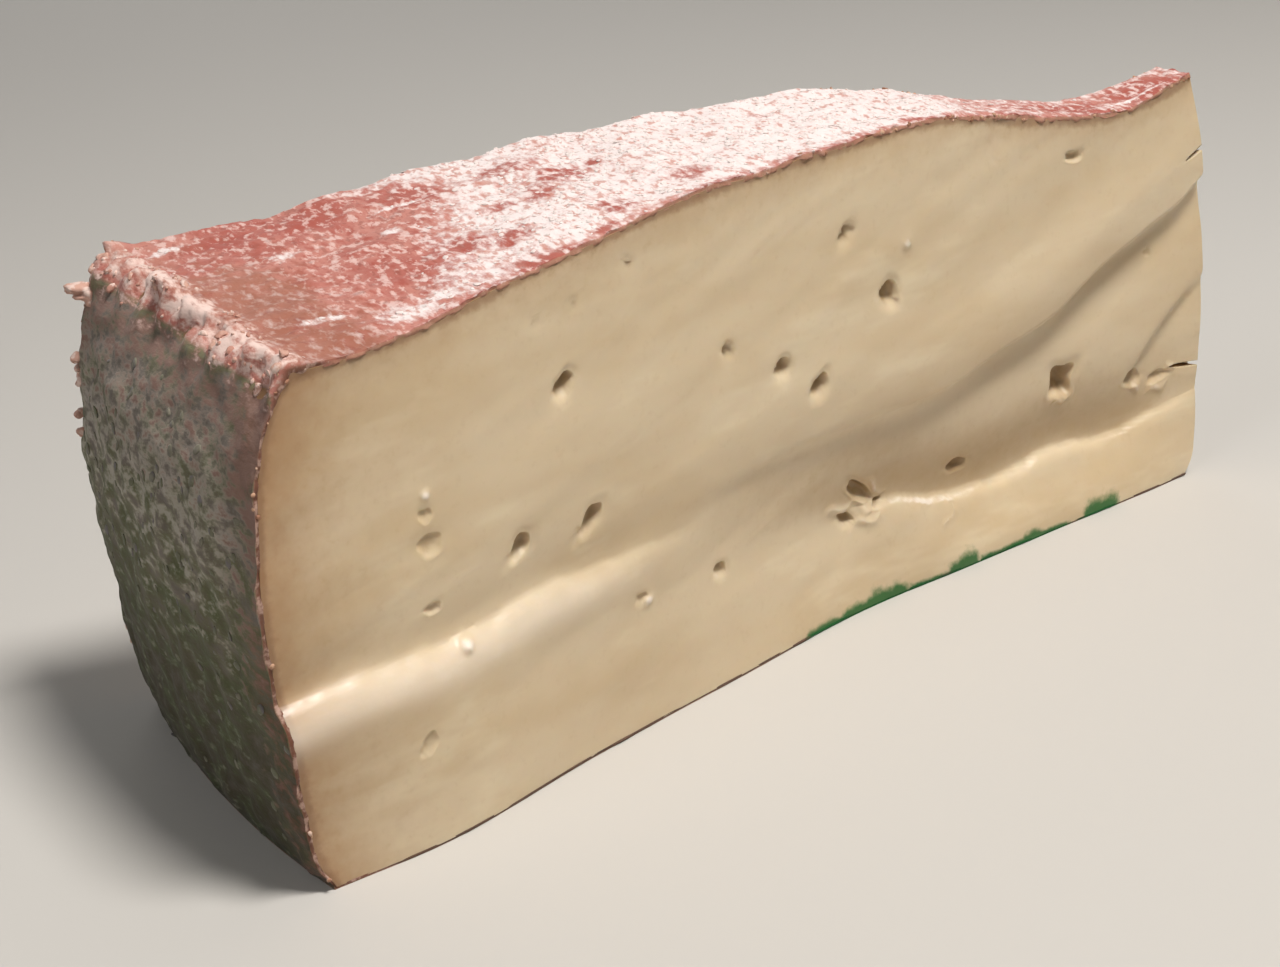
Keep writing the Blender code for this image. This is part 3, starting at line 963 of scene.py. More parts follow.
@dataclass
class Paste:
    """The body of the wedge under the rind, with both cut faces, the eyes and the tip.

    Cells of step are halved until they are as small as fine, ring_fine or line_fine ask. The solid
    draws drawn_before numbers before its back eyes, which are drawn alike here.
    """

    form: WedgeForm
    finish: Finish = CUT_PASTE
    step: float = 0.0010
    cells_across: int = 8
    levels: int = 3
    fine: float = 0.00022
    back_fine: float = 0.00027
    ring_fine: float = 0.00053
    line_fine: float = 0.0005
    line_reach: float = 0.0026
    rim_reach: float = 1.45
    ring_reach: float = 2.2
    tuck: float = 0.0005
    slits: tuple[Slit, ...] = (
        Slit(0.0608, 0.0046, 0.0008, math.radians(20)),
        Slit(0.0206, 0.0050, 0.0008, math.radians(-6)),
    )
    slit_edge: float = 0.0015
    slit_way: Triple = (-0.72, 0.69, 0.0)
    back_eyes: int = 14
    back_width: tuple[float, float] = (0.0026, 0.0050)
    back_shape: tuple[float, float] = (0.6, 1.1)
    back_lean: float = math.radians(28)
    back_margin: float = 0.011
    seed: int = 11
    drawn_before: int = 19
    darkest_from: float = 0.0016
    sag_share: float = 0.12
    sag_reach: float = 0.40
    rim_share: float = 0.14
    rim_at: float = 1.15
    rim_width: float = 0.20
    tail_share: float = 0.28
    hole_rise: float = 0.30
    flap_cover: float = 0.8
    thread_light: float = 0.42
    flap_light: float = 0.9
    sharp_from: float = 0.5
    bottom_tuck: float = 0.0003
    bead_full: float = 0.0008
    crest_full: float = 0.0030
    crest_under: float = 0.0032
    crest_width: float = 0.0034
    hollow_over: float = 0.0040
    hollow_above: float = 0.0085
    hollow_below: float = 0.0045
    glow_heel: float = 0.0100
    glow_top: float = 0.0042
    glow_corner: float = 0.0180
    line_heel: float = 0.0007
    line_top: float = 0.0010
    line_fade: float = 0.0008

    def block(self) -> bmesh.types.BMesh:
        """Cuts a block into even cells.

        Returns:
            The closed block, in metres along, shares across and metres up.
        """
        mesh = bmesh.new()
        bmesh.ops.create_cube(mesh, size=1.0, matrix=Matrix.Translation((0.5, 0.5, 0.5)))
        long, high = round(self.form.length / self.step), round(self.form.heel_height / self.step)
        counts = (long, self.cells_across, high)
        for axis in (0, 2, 1):
            runs = [e for e in mesh.edges if abs((e.verts[1].co - e.verts[0].co)[axis]) > 0.5]
            bmesh.ops.subdivide_edges(mesh, edges=runs, cuts=counts[axis] - 1, use_grid_fill=True)
        for vert in mesh.verts:
            vert.co.x *= self.form.length
            vert.co.z *= self.form.heel_height
        return mesh

    def needed_size(self, x: np.ndarray, z: np.ndarray, eyes: tuple[Eye, ...], front: bool) -> np.ndarray:
        """How small the cells have to be, to carry the creases and rims near each place.

        Args:
            x: Places along the wedge, from its middle.
            z: Heights.
            eyes: The eyes of this face.
            front: Whether this is the face with the creases.

        Returns:
            The needed size of a cell at each place.
        """
        size = np.full_like(x, 1.2 * self.step)
        fine = self.fine if front else self.back_fine
        if front:
            form = self.form
            ledge = np.abs(z - smooth_curve(form.ledge_line, x))
            lip = np.abs(z - smooth_curve(form.valley_line, x))
            near = np.minimum(np.where(x < -0.025, ledge, 1.0), np.where(x > 0.010, lip, 1.0))
            size = np.where(near < self.line_reach, self.line_fine, size)
            fold = np.abs(z - smooth_curve(form.fold_line, x))
            size = np.where((fold < self.line_reach) & (x > 0.0), 1.2 * self.line_fine, size)
            for slit in self.slits:
                close = (np.abs(z - slit.z + 0.002) < 0.004) & (x > 0.5 * form.length - 2.0 * slit.length)
                size = np.where(close, self.fine, size)
            for flap in FLAPS:
                size = np.where(flap.ridge(x, z) > 0.01, self.fine, size)
        for eye in eyes:
            distance = eye.reach(x, z)[0]
            size = np.where(distance < self.rim_reach, min(fine, 0.1 * eye.width), size)
            ring = (distance >= self.rim_reach) & (distance < self.ring_reach)
            size = np.where(ring, np.minimum(size, self.ring_fine), size)
        return size

    def refine(self, mesh: bmesh.types.BMesh, faces_eyes: dict[bool, tuple[Eye, ...]]) -> None:
        """Splits the cells of the cut faces until they are as small as needed there.

        Args:
            mesh: The block.
            faces_eyes: The eyes of the front face under True, and of the back face under False.
        """
        for _ in range(self.levels):
            edges = set()
            for front, eyes in faces_eyes.items():
                side = -1.0 if front else 1.0
                cells = [f for f in mesh.faces if f.normal.y * side > 0.9]
                centres = np.array([f.calc_center_median()[:] for f in cells])
                sizes = np.sqrt([f.calc_area() for f in cells])
                x = centres[:, 0] - 0.5 * self.form.length
                needed = self.needed_size(x, centres[:, 2], eyes, front)
                for cell, size, wanted in zip(cells, sizes, needed):
                    if size > wanted * 1.05:
                        edges.update(cell.edges)
            bmesh.ops.subdivide_edges(mesh, edges=list(edges), cuts=1, use_grid_fill=True)

    def make_back_eyes(self) -> tuple[Eye, ...]:
        """Draws the eyes of the back face, in the same order as the solid's.

        Returns:
            Those eyes, heel to tip.
        """
        draw = random.Random(self.seed)
        for _ in range(self.drawn_before):
            draw.random()
        eyes = []
        for count in range(self.back_eyes):
            share = (count + draw.uniform(0.2, 0.8)) / self.back_eyes
            x = (share - 0.5) * (self.form.length - 2.0 * self.back_margin)
            z = draw.uniform(self.back_margin, self.form.heel_height - self.back_margin)
            width = draw.uniform(*self.back_width)
            lean = draw.uniform(-self.back_lean, self.back_lean)
            eyes.append(Eye(x, z, width, width * draw.uniform(*self.back_shape), 0.5 * width, lean))
        return tuple(eyes)

    def eye_relief(
        self, x: np.ndarray, z: np.ndarray, eyes: tuple[Eye, ...]
    ) -> tuple[np.ndarray, np.ndarray]:
        """How deep the eyes are, and how much of their browner skin and painted shade they get.

        Args:
            x: Places along the wedge.
            z: Heights.
            eyes: The eyes of this face.

        Returns:
            The depth at each place, and a share from 0 on the face to 1 deep in an eye.
        """
        depth = np.zeros_like(x)
        eye_skin_and_shade = np.zeros_like(x)
        for eye in eyes:
            distance, side, rise = eye.reach(x, z)
            inside = np.clip(1.0 - distance, 0.0, 1.0)
            steep = np.clip(0.75 - 0.30 * side + 0.40 * rise, 0.35 if eye.power < 3.0 else 0.9, 1.4)
            bowl = (1.0 - (1.0 - inside) ** (2.0 + 1.8 * steep)) ** 1.3
            bowl *= 0.85 * eye.depth * (0.72 + 0.28 * steep)
            sag = self.sag_share * eye.depth * hill(np.maximum(distance - 1.0, 0.0), self.sag_reach)
            rim = self.rim_share * eye.depth * hill(distance - self.rim_at, self.rim_width)
            rim *= np.clip(-rise, 0.0, 1.0)
            hole = 0.9 * bowl + sag - rim
            depth = np.where(np.abs(hole) > np.abs(depth), hole, depth)
            # Painted shade: darker deeper in, and darker on the steep upper walls, where shade falls.
            shade = np.clip(bowl / max(eye.depth, self.darkest_from), 0.0, 1.0)
            eye_skin_and_shade = np.maximum(eye_skin_and_shade, shade * np.clip(0.55 + 0.45 * steep, 0.0, 1.0))
            if eye.tail > 0.0:
                depth = depth + self.tail_relief(x, z, eye)
        return depth, eye_skin_and_shade

    def tail_relief(self, x: np.ndarray, z: np.ndarray, eye: Eye) -> np.ndarray:
        """The shallow smear that the knife drew out of an eye, down and towards the heel.

        Args:
            x: Places along the wedge.
            z: Heights.
            eye: The eye.

        Returns:
            The depth at each place, into the face.
        """
        way_x, way_z = -math.sin(eye.lean + 0.25), -math.cos(eye.lean + 0.25)
        run = (x - eye.x) * way_x + (z - eye.z) * way_z - 0.42 * eye.height
        off = (x - eye.x) * way_z - (z - eye.z) * way_x
        share = np.clip(run / eye.tail, 0.0, 1.0)
        width = 0.38 * eye.width * (1.0 - 0.6 * share)
        fade = ease(-0.25, 0.1, run / eye.tail) * (1.0 - share) ** 1.3
        return self.tail_share * eye.depth * fade * hill(off, width)

    def cut_slits(self, points: np.ndarray, near: np.ndarray) -> np.ndarray:
        """Pushes the skin in where a slit runs into the tip's front edge.

        Args:
            points: Block points, one a row.
            near: Which points lie on the front face or on the tip.

        Returns:
            The points, with those inside a slit moved to its wall.
        """
        inward = np.array(self.slit_way)
        moved = points.copy()
        for slit in self.slits:
            turn_cos, turn_sin = math.cos(slit.tilt), math.sin(slit.tilt)
            turned = np.array([[turn_cos, 0.0, turn_sin], [0.0, 1.0, 0.0], [-turn_sin, 0.0, turn_cos]])
            middle = self.form.front_point(0.5 * self.form.length + self.slit_edge, slit.z)
            half = np.array([slit.length, 0.5 * slit.length, 0.5 * slit.opening])
            place = ((moved - middle) @ turned.T) / half
            step = (turned @ inward) / half
            squared = step @ step
            along = place @ step
            room = along**2 - squared * ((place**2).sum(axis=1) - 1.0)
            inside = near & ((place**2).sum(axis=1) < 1.0)
            reach = (-along + np.sqrt(np.maximum(room, 0.0))) / squared
            moved[inside] += reach[inside, None] * inward
        return moved

    def build(self) -> bpy.types.Object:
        """Builds the paste as one closed mesh with its attributes, and dresses it.

        Returns:
            The piece.
        """
        form = self.form
        mesh = self.block()
        mesh.normal_update()
        back_eyes = self.make_back_eyes()
        self.refine(mesh, {True: EYES, False: back_eyes})
        mesh.normal_update()
        for edge in mesh.edges:
            first, second = edge.link_faces
            edge.smooth = first.normal.dot(second.normal) > self.sharp_from
        cells = np.array([vert.co[:] for vert in mesh.verts])
        along, across, up = cells[:, 0] / form.length, cells[:, 1], cells[:, 2] / form.heel_height
        heel_share = self.tuck / form.length
        low_share, top_share = self.bottom_tuck / form.heel_height, self.tuck / form.heel_height
        shares = np.column_stack([
            heel_share + (1.0 - heel_share) * along,
            across,
            low_share + (1.0 - low_share - top_share) * up,
        ])
        points = form.block_points(shares)
        x, z = points[:, 0], points[:, 2]
        front, back = across < ON_EDGE, across > 1.0 - ON_EDGE
        depth, eye_skin_and_shade = np.zeros(len(points)), np.zeros(len(points))
        depth[front], eye_skin_and_shade[front] = self.eye_relief(x[front], z[front], EYES)
        # Painted highlight along the torn edge of the lip, fullest on the beads of paste and weaker on the
        # threads.
        light = form.bead_line(x, z) * smooth_curve(form.bead_height, x) / self.bead_full
        for flap in FLAPS:
            ridge = flap.ridge(x, z) * front
            depth -= flap.height * ridge
            eye_skin_and_shade *= 1.0 - self.flap_cover * ridge
            light = np.maximum(light, (self.thread_light if flap.torn else self.flap_light) * ridge)
        back_depth, eye_skin_and_shade[back] = self.eye_relief(x[back], z[back], back_eyes)
        points[:, 1] += depth
        points[back, 1] -= back_depth
        points[front, 2] += self.hole_rise * np.maximum(depth[front], 0.0)
        uncut = points
        points = self.cut_slits(points, front | (along > 1.0 - ON_EDGE))
        # Painted shade: the walls of the slits take the eyes' darkest colour.
        eye_skin_and_shade[(points != uncut).any(axis=1)] = 1.0
        for vert, point in zip(mesh.verts, points - form.middle):
            vert.co = point
        bmesh.ops.triangulate(mesh, faces=[f for f in mesh.faces if len(f.verts) > 4])
        made = plain_mesh("paste", mesh)
        from_rind = self.from_rind(x, z)
        zones = {
            "eye": eye_skin_and_shade,
            "rind_glow": self.rind_glow(*from_rind),
            "rind_line": self.rind_line(*from_rind),
            "ink": ink_at(x, z) * front,
            "hollow_shade": self.hollow_shade(x, z) * front,
            "bead": light * front,
            "crest_highlight": self.crest_highlight(x, z) * front,
        }
        return finish_piece("paste", made, zones, self.finish.material())

    def from_rind(self, x: np.ndarray, z: np.ndarray) -> tuple[np.ndarray, np.ndarray]:
        """How far places are from the heel, and from the top."""
        from_heel = x + 0.5 * self.form.length + smooth_curve(self.form.heel_profile, z)
        return from_heel, smooth_curve(self.form.top_line, x) - z

    def rind_glow(self, from_heel: np.ndarray, from_top: np.ndarray) -> np.ndarray:
        """How much of the rind's brown has soaked into the paste, widest at the heel.

        Args:
            from_heel: Distances from the heel.
            from_top: Distances from the top.

        Returns:
            The amount at each place, from 0 to 1.
        """
        heel = 0.82 * np.exp(-((np.maximum(from_heel, 0.0) / self.glow_heel) ** 1.2))
        top = 0.62 * np.exp(-((np.maximum(from_top, 0.0) / self.glow_top) ** 1.2))
        corner = 0.25 * np.exp(-(np.hypot(from_heel, from_top) / self.glow_corner))
        return np.clip(np.maximum(heel, top) + corner, 0.0, 1.0)

    def rind_line(self, from_heel: np.ndarray, from_top: np.ndarray) -> np.ndarray:
        """The thin brown line of paste right under the rind, from 0 to 1."""
        past = np.minimum(from_heel - self.line_heel, from_top - self.line_top)
        return np.exp(-np.maximum(past, 0.0) / self.line_fade)

    def crest_highlight(self, x: np.ndarray, z: np.ndarray) -> np.ndarray:
        """How much painted highlight, a paler cream, lies on the top of the ledge, where the paste is
        painted palest.

        Args:
            x: Places along the wedge.
            z: Heights.

        Returns:
            The amount at each place, from 0 to 1.
        """
        under = smooth_curve(self.form.ledge_line, x) - z
        height = smooth_curve(self.form.ledge_height, x) / self.crest_full
        return 0.75 * height * hill(under - self.crest_under, self.crest_width)

    def hollow_shade(self, x: np.ndarray, z: np.ndarray) -> np.ndarray:
        """How much painted shade, a browner paste, lies in the long recess over the lip, where shade falls.

        Args:
            x: Places along the wedge.
            z: Heights.

        Returns:
            The amount at each place, from 0 to 1.
        """
        over = z - smooth_curve(self.form.valley_line, x)
        width = np.where(over > self.hollow_over, self.hollow_above, self.hollow_below)
        along = ease(-0.0350, 0.0250, x) * (1.0 - 0.6 * ease(0.0750, 0.0930, x))
        return 0.9 * along * hill(over - self.hollow_over, width) * ease(-0.0006, 0.0012, over)


# Smudges of stamp ink along the foot of the front face: from x, to x, height.
INK_SMUDGES = (
    (0.0000, 0.0110, 0.0012), (0.0080, 0.0180, 0.0018), (0.0150, 0.0240, 0.0026), (0.0240, 0.0330, 0.0007),
    (0.0325, 0.0400, 0.0026), (0.0400, 0.0620, 0.0010), (0.0500, 0.0560, 0.0016), (0.0650, 0.0740, 0.0030),
)


def ink_at(x: np.ndarray, z: np.ndarray) -> np.ndarray:
    """How much stamp ink there is on the foot of the front face.

    Args:
        x: Places along the wedge.
        z: Heights.

    Returns:
        The amount at each place, of about 0 to 1.
    """
    amount = np.zeros_like(x)
    for start, end, height in INK_SMUDGES:
        along = ease(start - 0.0015, start + 0.0015, x) * (1.0 - ease(end - 0.0025, end + 0.0015, x))
        ragged = height * (1.0 + 0.30 * wobble(x, 0.0120))
        amount = np.maximum(amount, 1.15 * along * np.exp(-((z / ragged) ** 1.8)))
    return amount


def plain_mesh(name: str, work: bmesh.types.BMesh) -> bpy.types.Mesh:
    """Ends the work on a mesh.

    Args:
        name: The name of the mesh.
        work: The mesh being worked on, which is freed.

    Returns:
        The plain mesh, shaded smooth.
    """
    mesh = bpy.data.meshes.new(name)
    for face in work.faces:
        face.smooth = True
    work.to_mesh(mesh)
    work.free()
    return mesh


def add_object(name: str, data: bpy.types.ID) -> bpy.types.Object:
    """Puts a mesh, light or camera into the scene.

    Args:
        name: The object's name.
        data: What it shows.

    Returns:
        The new object, at the origin.
    """
    made = bpy.data.objects.new(name, data)
    bpy.context.scene.collection.objects.link(made)
    return made


def finish_piece(
    name: str, mesh: bpy.types.Mesh, zones: Zones, material: bpy.types.Material
) -> bpy.types.Object:
    """Makes a mesh a piece of the wedge.

    Args:
        name: The piece's name.
        mesh: Its mesh, in place.
        zones: Numbers for each vertex that its finish reads, by name.
        material: Its finish.

    Returns:
        The piece, which rides on the wedge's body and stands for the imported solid.
    """
    for zone, values in zones.items():
        stored = mesh.attributes.new(zone, "FLOAT", "POINT")
        stored.data.foreach_set("value", np.ascontiguousarray(values, np.float32))
    piece = add_object(name, mesh)
    mesh.materials.clear()
    mesh.materials.append(material)
    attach(piece, BODY)
    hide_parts(NODE)
    return piece


@dataclass(frozen=True)
class Spot:
    """A patch of another colour on the top rind: x, share across, length, width and turn."""

    x: float
    across: float
    length: float
    width: float
    turn: float = 0.0

    def mask(self, x: np.ndarray, y: np.ndarray, half: float) -> np.ndarray:
        """Where the spot is.

        Args:
            x: Places along the wedge.
            y: Places across it.
            half: Half the wedge's width at the spot.

        Returns:
            1 in the middle of the spot, falling to 0 past its rim.
        """
        middle = (2.0 * self.across - 1.0) * half
        turn_cos, turn_sin = math.cos(self.turn), math.sin(self.turn)
        along = (x - self.x) * turn_cos + (y - middle) * turn_sin
        off = (y - middle) * turn_cos - (x - self.x) * turn_sin
        distance = np.hypot(along / (0.5 * self.length), off / (0.5 * self.width))
        return 1.0 - ease(0.45, 1.45, distance)


# Patches on top where the bloom is worn to the red rind, and where it lies thick.
RED_SPOTS = (
    Spot(-0.0600, 0.85, 0.0160, 0.0114), Spot(-0.0750, 0.86, 0.0120, 0.0076),
    Spot(-0.0465, 0.78, 0.0120, 0.0114), Spot(-0.0310, 0.78, 0.0110, 0.0080),
    Spot(-0.0270, 0.58, 0.0100, 0.0095), Spot(-0.0335, 0.48, 0.0060, 0.0080),
    Spot(-0.0141, 0.22, 0.0070, 0.0068, -0.5), Spot(-0.0291, 0.16, 0.0060, 0.0076),
    Spot(-0.0455, 0.03, 0.0100, 0.0076), Spot(-0.0446, 0.23, 0.0080, 0.0057, 0.4),
    Spot(-0.0202, 0.62, 0.0028, 0.0038), Spot(-0.0346, 0.05, 0.0045, 0.0030, 0.3),
    Spot(-0.0396, 0.48, 0.0065, 0.0042), Spot(-0.0500, 0.30, 0.0060, 0.0076),
    Spot(0.0120, 0.75, 0.0040, 0.0038), Spot(0.0270, 0.10, 0.0040, 0.0030),
    Spot(0.0650, 0.40, 0.0200, 0.0095), Spot(0.0830, 0.40, 0.0140, 0.0114),
)
WHITE_SPOTS = (
    Spot(-0.0663, 0.09, 0.0090, 0.0060), Spot(-0.0605, 0.10, 0.0060, 0.0050),
    Spot(-0.0762, 0.20, 0.0070, 0.0022), Spot(-0.0547, 0.57, 0.0030, 0.0028),
    Spot(-0.0816, 0.90, 0.0050, 0.0024), Spot(-0.0484, 0.74, 0.0110, 0.0009),
    Spot(-0.0700, 0.64, 0.0040, 0.0024), Spot(0.0790, 0.25, 0.0150, 0.0009),
    Spot(0.0640, 0.20, 0.0060, 0.0008),
)


@dataclass
class Rind:
    """The washed rind round the top, the heel and the base: one closed shell with its cut edges."""

    form: WedgeForm
    finish: Finish = WASHED_RIND
    top_thick: float = 0.0010
    heel_thick: float = 0.0007
    base_thick: float = 0.0006
    row_step: float = 0.00058
    base_step: float = 0.0030
    columns: int = 124
    edge_rows: int = 4
    proud: float = 0.00030
    tuck: float = 0.0005
    fine_bump: float = 0.00028
    fine_pitch: float = 0.0022
    ridge: float = 0.0005
    lump: float = 0.0022
    lump_pitch: float = 0.0052
    lump_seed: float = 27.0
    lip_reach: float = 0.0030
    lip_cover: float = 0.72
    heel_bump: float = 0.00050
    heel_pitch: float = 0.0038
    groove_line: Curve = ((-0.0240, 0.0178), (-0.0057, 0.0100), (0.0139, 0.0100), (0.0300, 0.0078))
    groove_depth: float = 0.0006
    groove_width: float = 0.0010
    deepest: float = 0.0002
    sharp_from: float = math.radians(65)
    bloom_starts: Curve = (
        (0.0, -0.0600), (0.16, -0.0575), (0.30, -0.0515), (0.45, -0.0500),
        (0.65, -0.0440), (0.85, -0.0440), (1.0, -0.0520),
    )
    bloom_ends: float = 0.0420
    bloom_blur: float = 0.0090
    spot_red: float = 0.85
    spot_bare: float = 0.66
    spot_white: float = 0.78

    def rows(self) -> np.ndarray:
        """Lays the path round the wedge, tip to tip.

        Returns:
            Rows of shares (along, up) of the outer skin.
        """
        form = self.form
        top = np.linspace(1.0, 0.0, round(form.length / self.row_step))
        heel = np.linspace(1.0, 0.0, round(form.heel_height / self.row_step))
        base = np.linspace(0.0, 1.0, round(form.length / self.base_step))
        return np.concatenate([
            np.column_stack([top, np.ones_like(top)]),
            np.column_stack([np.zeros_like(heel), heel])[1:],
            np.column_stack([base, np.zeros_like(base)])[1:],
        ])

    def loops(self) -> tuple[np.ndarray, np.ndarray, np.ndarray]:
        """Closed loops of shares round the shell's section.

        Returns:
            Shares (along, across, up) as rows by places by 3, how far through the rind each place
            is from 0 outside to 1 inside, and which places are on the outer skin.
        """
        form = self.form
        outer = self.rows()
        run = outer[:, 0] * form.length - outer[:, 1] * form.heel_height
        thin = 1.0 + 0.18 * wobble(run, 0.0073) + 0.14 * wobble(run, 0.0021)
        heel_share = self.heel_thick / form.length
        top_share = self.top_thick / form.heel_height
        base_share = self.base_thick / form.heel_height
        inner = np.column_stack([
            heel_share * thin + (1.0 - heel_share * thin) * outer[:, 0],
            base_share + (1.0 - base_share - top_share * thin) * outer[:, 1],
        ])
        inner[:, 0] = np.where(outer[:, 0] > 1.0 - ON_EDGE, 1.0, inner[:, 0])
        across = np.linspace(0.0, 1.0, self.columns + 1)
        cuts = np.linspace(0.0, 1.0, self.edge_rows + 1)[1:]
        through = np.concatenate([0.0 * across, cuts, cuts[::-1]])
        sides = np.concatenate([across, np.ones_like(cuts), np.zeros_like(cuts)])
        skin = np.concatenate([np.ones_like(across), 0.0 * cuts, 0.0 * cuts]) > 0.5
        path = outer[:, None] * (1.0 - through[None, :, None]) + inner[:, None] * through[None, :, None]
        shares = np.stack([path[..., 0], np.broadcast_to(sides, path.shape[:2]), path[..., 1]], axis=-1)
        return shares, np.broadcast_to(through, path.shape[:2]), np.broadcast_to(skin, path.shape[:2])

    def build(self) -> bpy.types.Object:
        """Builds the shell as one closed mesh with its attributes, and dresses it.

        Returns:
            The piece.
        """
        shares, through, skin = self.loops()
        rows, places = through.shape
        shares, through, skin = shares.reshape(-1, 3), through.reshape(-1), skin.reshape(-1)
        points = self.form.block_points(shares)
        along, across, up = shares.T
        zones = self.zones(shares, points, skin)
        points = self.roughen(points, zones, skin, 1.0 * ((along < ON_EDGE) & (up < 1.0 - ON_EDGE) & skin))
        cut = (through > ON_EDGE) & (through < 1.0 - ON_EDGE)
        inside = through > 1.0 - ON_EDGE
        outward = np.where(across < 0.5, -1.0, 1.0)
        ragged = 0.1 + 1.6 * bumps(points, 0.0014, 41.0)
        points[:, 1] += outward * (cut * self.proud * ragged * np.sin(np.pi * through) - inside * self.tuck)
        mesh = loft(rows, places, points - self.form.middle)
        mesh.set_sharp_from_angle(angle=self.sharp_from)
        soft = skin & (zones["lip"] > 0.05)
        for edge in mesh.edges:
            if soft[edge.vertices[0]] and soft[edge.vertices[1]]:
                edge.use_edge_sharp = False
        zones["ink"] = ink_at(points[:, 0], points[:, 2]) * (across < ON_EDGE)
        heel_end = 1.0 - ease(0.004, 0.012, along * self.form.length)
        ends = {
            # Partly the base rind's edge, partly a painted contact shadow along the foot of the cut faces.
            "cut_base_and_shadow": (1.0 - heel_end) * (up < 0.5),
            "cut_top": (1.0 - heel_end) * (up > 0.5),
            "cut_heel": heel_end,
            "cut_pale": 0.34 * heel_end,
        }
        zones.update({name: np.where(skin, 0.0, amount) for name, amount in ends.items()})
        zones.update(self.beds(points, across, cut, heel_end, zones))
        return finish_piece("rind", mesh, zones, self.finish.material())

    def beds(
        self, points: np.ndarray, across: np.ndarray, cut: np.ndarray, heel_end: np.ndarray, zones: Zones
    ) -> Zones:
        """Where the crumbs of the cut edges and the tufts of bloom and mould lie.

        Args:
            points: Block points of the shell.
            across: How far across the wedge each is, from 0 to 1.
            cut: Which of them lie on a cut edge.
            heel_end: How near each is to the heel, from 0 to 1.
            zones: The zones of growth.

        Returns:
            The amount of each kind of bit at each place, from 0 to 1, by its field's name.
        """
        x, _, z = points.T
        from_side = np.minimum(across, 1.0 - across) * 2.0 * self.form.face_half(x)
        near_edge = ease(0.0, 0.0012, from_side)
        crumbly = 0.10 + 0.9 * ease(0.0150, 0.0250, x) * (1.0 - ease(0.0430, 0.0520, x))
        crumbly = np.maximum(crumbly + 0.7 * ease(0.0700, 0.0800, x), 0.3 * heel_end)
        above_base = ease(0.0010, 0.0030, z)
        bare = np.clip(1.8 * zones["brown"], 0.0, 1.0)
        furry = 0.25 + 0.75 * ease(0.0150, 0.0450, z)
        return {
            "edge_bits": np.where(cut, 1.0, 0.5 * (1.0 - near_edge)) * above_base * crumbly,
            "bloom_bits": zones["bloom"] ** 2,
            "mould_bits": zones["heel"] ** 2 * (1.0 - bare) * near_edge * furry,
        }

    def zones(self, shares: np.ndarray, points: np.ndarray, skin: np.ndarray) -> Zones:
        """Lays out the kinds of growth and stain, and the painted shade at the foot of the heel.

        Args:
            shares: Shares (along, across, up) of the block, one a row.
            points: The block point of each.
            skin: Which of them are on the outer skin.

        Returns:
            How much of each kind there is at each place, from 0 to 1, by name.
        """
        along, across, up = shares.T
        on_top = (up > 1.0 - ON_EDGE) & skin
        on_heel = (along < ON_EDGE) & skin & ~on_top
        from_corner = np.where(on_top, along * self.form.length, (1.0 - up) * self.form.heel_height)
        lip = hill(from_corner, self.lip_reach) * (on_top | on_heel)
        clumps = ease(0.0, 0.42, bumps(points, self.lump_pitch, self.lump_seed))
        from_front = across * 2.0 * self.form.face_half(points[:, 0])
        top = self.top_zones(points, across, from_front)
        heel = self.heel_zones(up * self.form.heel_height, lip, from_front)
        return {
            **{name: amount * on_top for name, amount in top.items()},
            "lip": self.lip_cover * lip,
            "lip_pale": lip * (0.50 + 0.36 * clumps) * (1.0 - 0.45 * ease(0.82, 0.97, across)),
            **{name: amount * on_heel for name, amount in heel.items()},
            "under": 1.0 * ((up < ON_EDGE) & skin),
        }

    def top_zones(self, points: np.ndarray, across: np.ndarray, from_front: np.ndarray) -> Zones:
        """The zones of the top: white bloom, its pits, red patches and the tan end at the heel.

        Args:
            points: Block points.
            across: How far across the wedge each is, from 0 to 1.
            from_front: How far each is from the front face.

        Returns:
            How much of each there would be on the top, by name.
        """
        x, y, _ = points.T
        blur = self.bloom_blur
        begun = ease(-blur, blur, x - smooth_curve(self.bloom_starts, across))
        ended = ease(-blur, blur, x - (self.bloom_ends + 0.0100 * (across - 0.5)))
        bloom = begun * (1.0 - 0.62 * ended)
        bloom *= 1.0 - 0.22 * (1.0 - ease(-0.0250, 0.0, x)) * (0.5 + bumps(points, 0.0110, 51.0))
        bloom *= 0.35 + 0.65 * ease(0.0004, 0.0030, from_front)
        red = 0.30 * ease(-0.0860, -0.0720, x) * (1.0 - ease(-0.0520, -0.0420, x))
        red += 0.25 * ease(0.0450, 0.0550, x)
        for spot in RED_SPOTS:
            mark = spot.mask(x, y, self.form.face_half(spot.x))
            red = np.maximum(red, self.spot_red * mark)
            bloom *= 1.0 - self.spot_bare * mark
        for spot in WHITE_SPOTS:
            mark = spot.mask(x, y, self.form.face_half(spot.x))
            bloom = np.maximum(bloom, self.spot_white * mark)
        tan = (1.0 - ease(-0.0800, -0.0640, x)) * (1.0 - 0.7 * ease(0.45, 0.85, across))
        return {
            "bloom": np.clip(bloom, 0.05, 1.0),
            "pits": (0.10 + 0.12 * (1.0 - ease(-0.0300, 0.0100, x))) * ease(0.3, 0.7, bloom),
            "red": red,
            "tan": 0.85 * tan,
        }

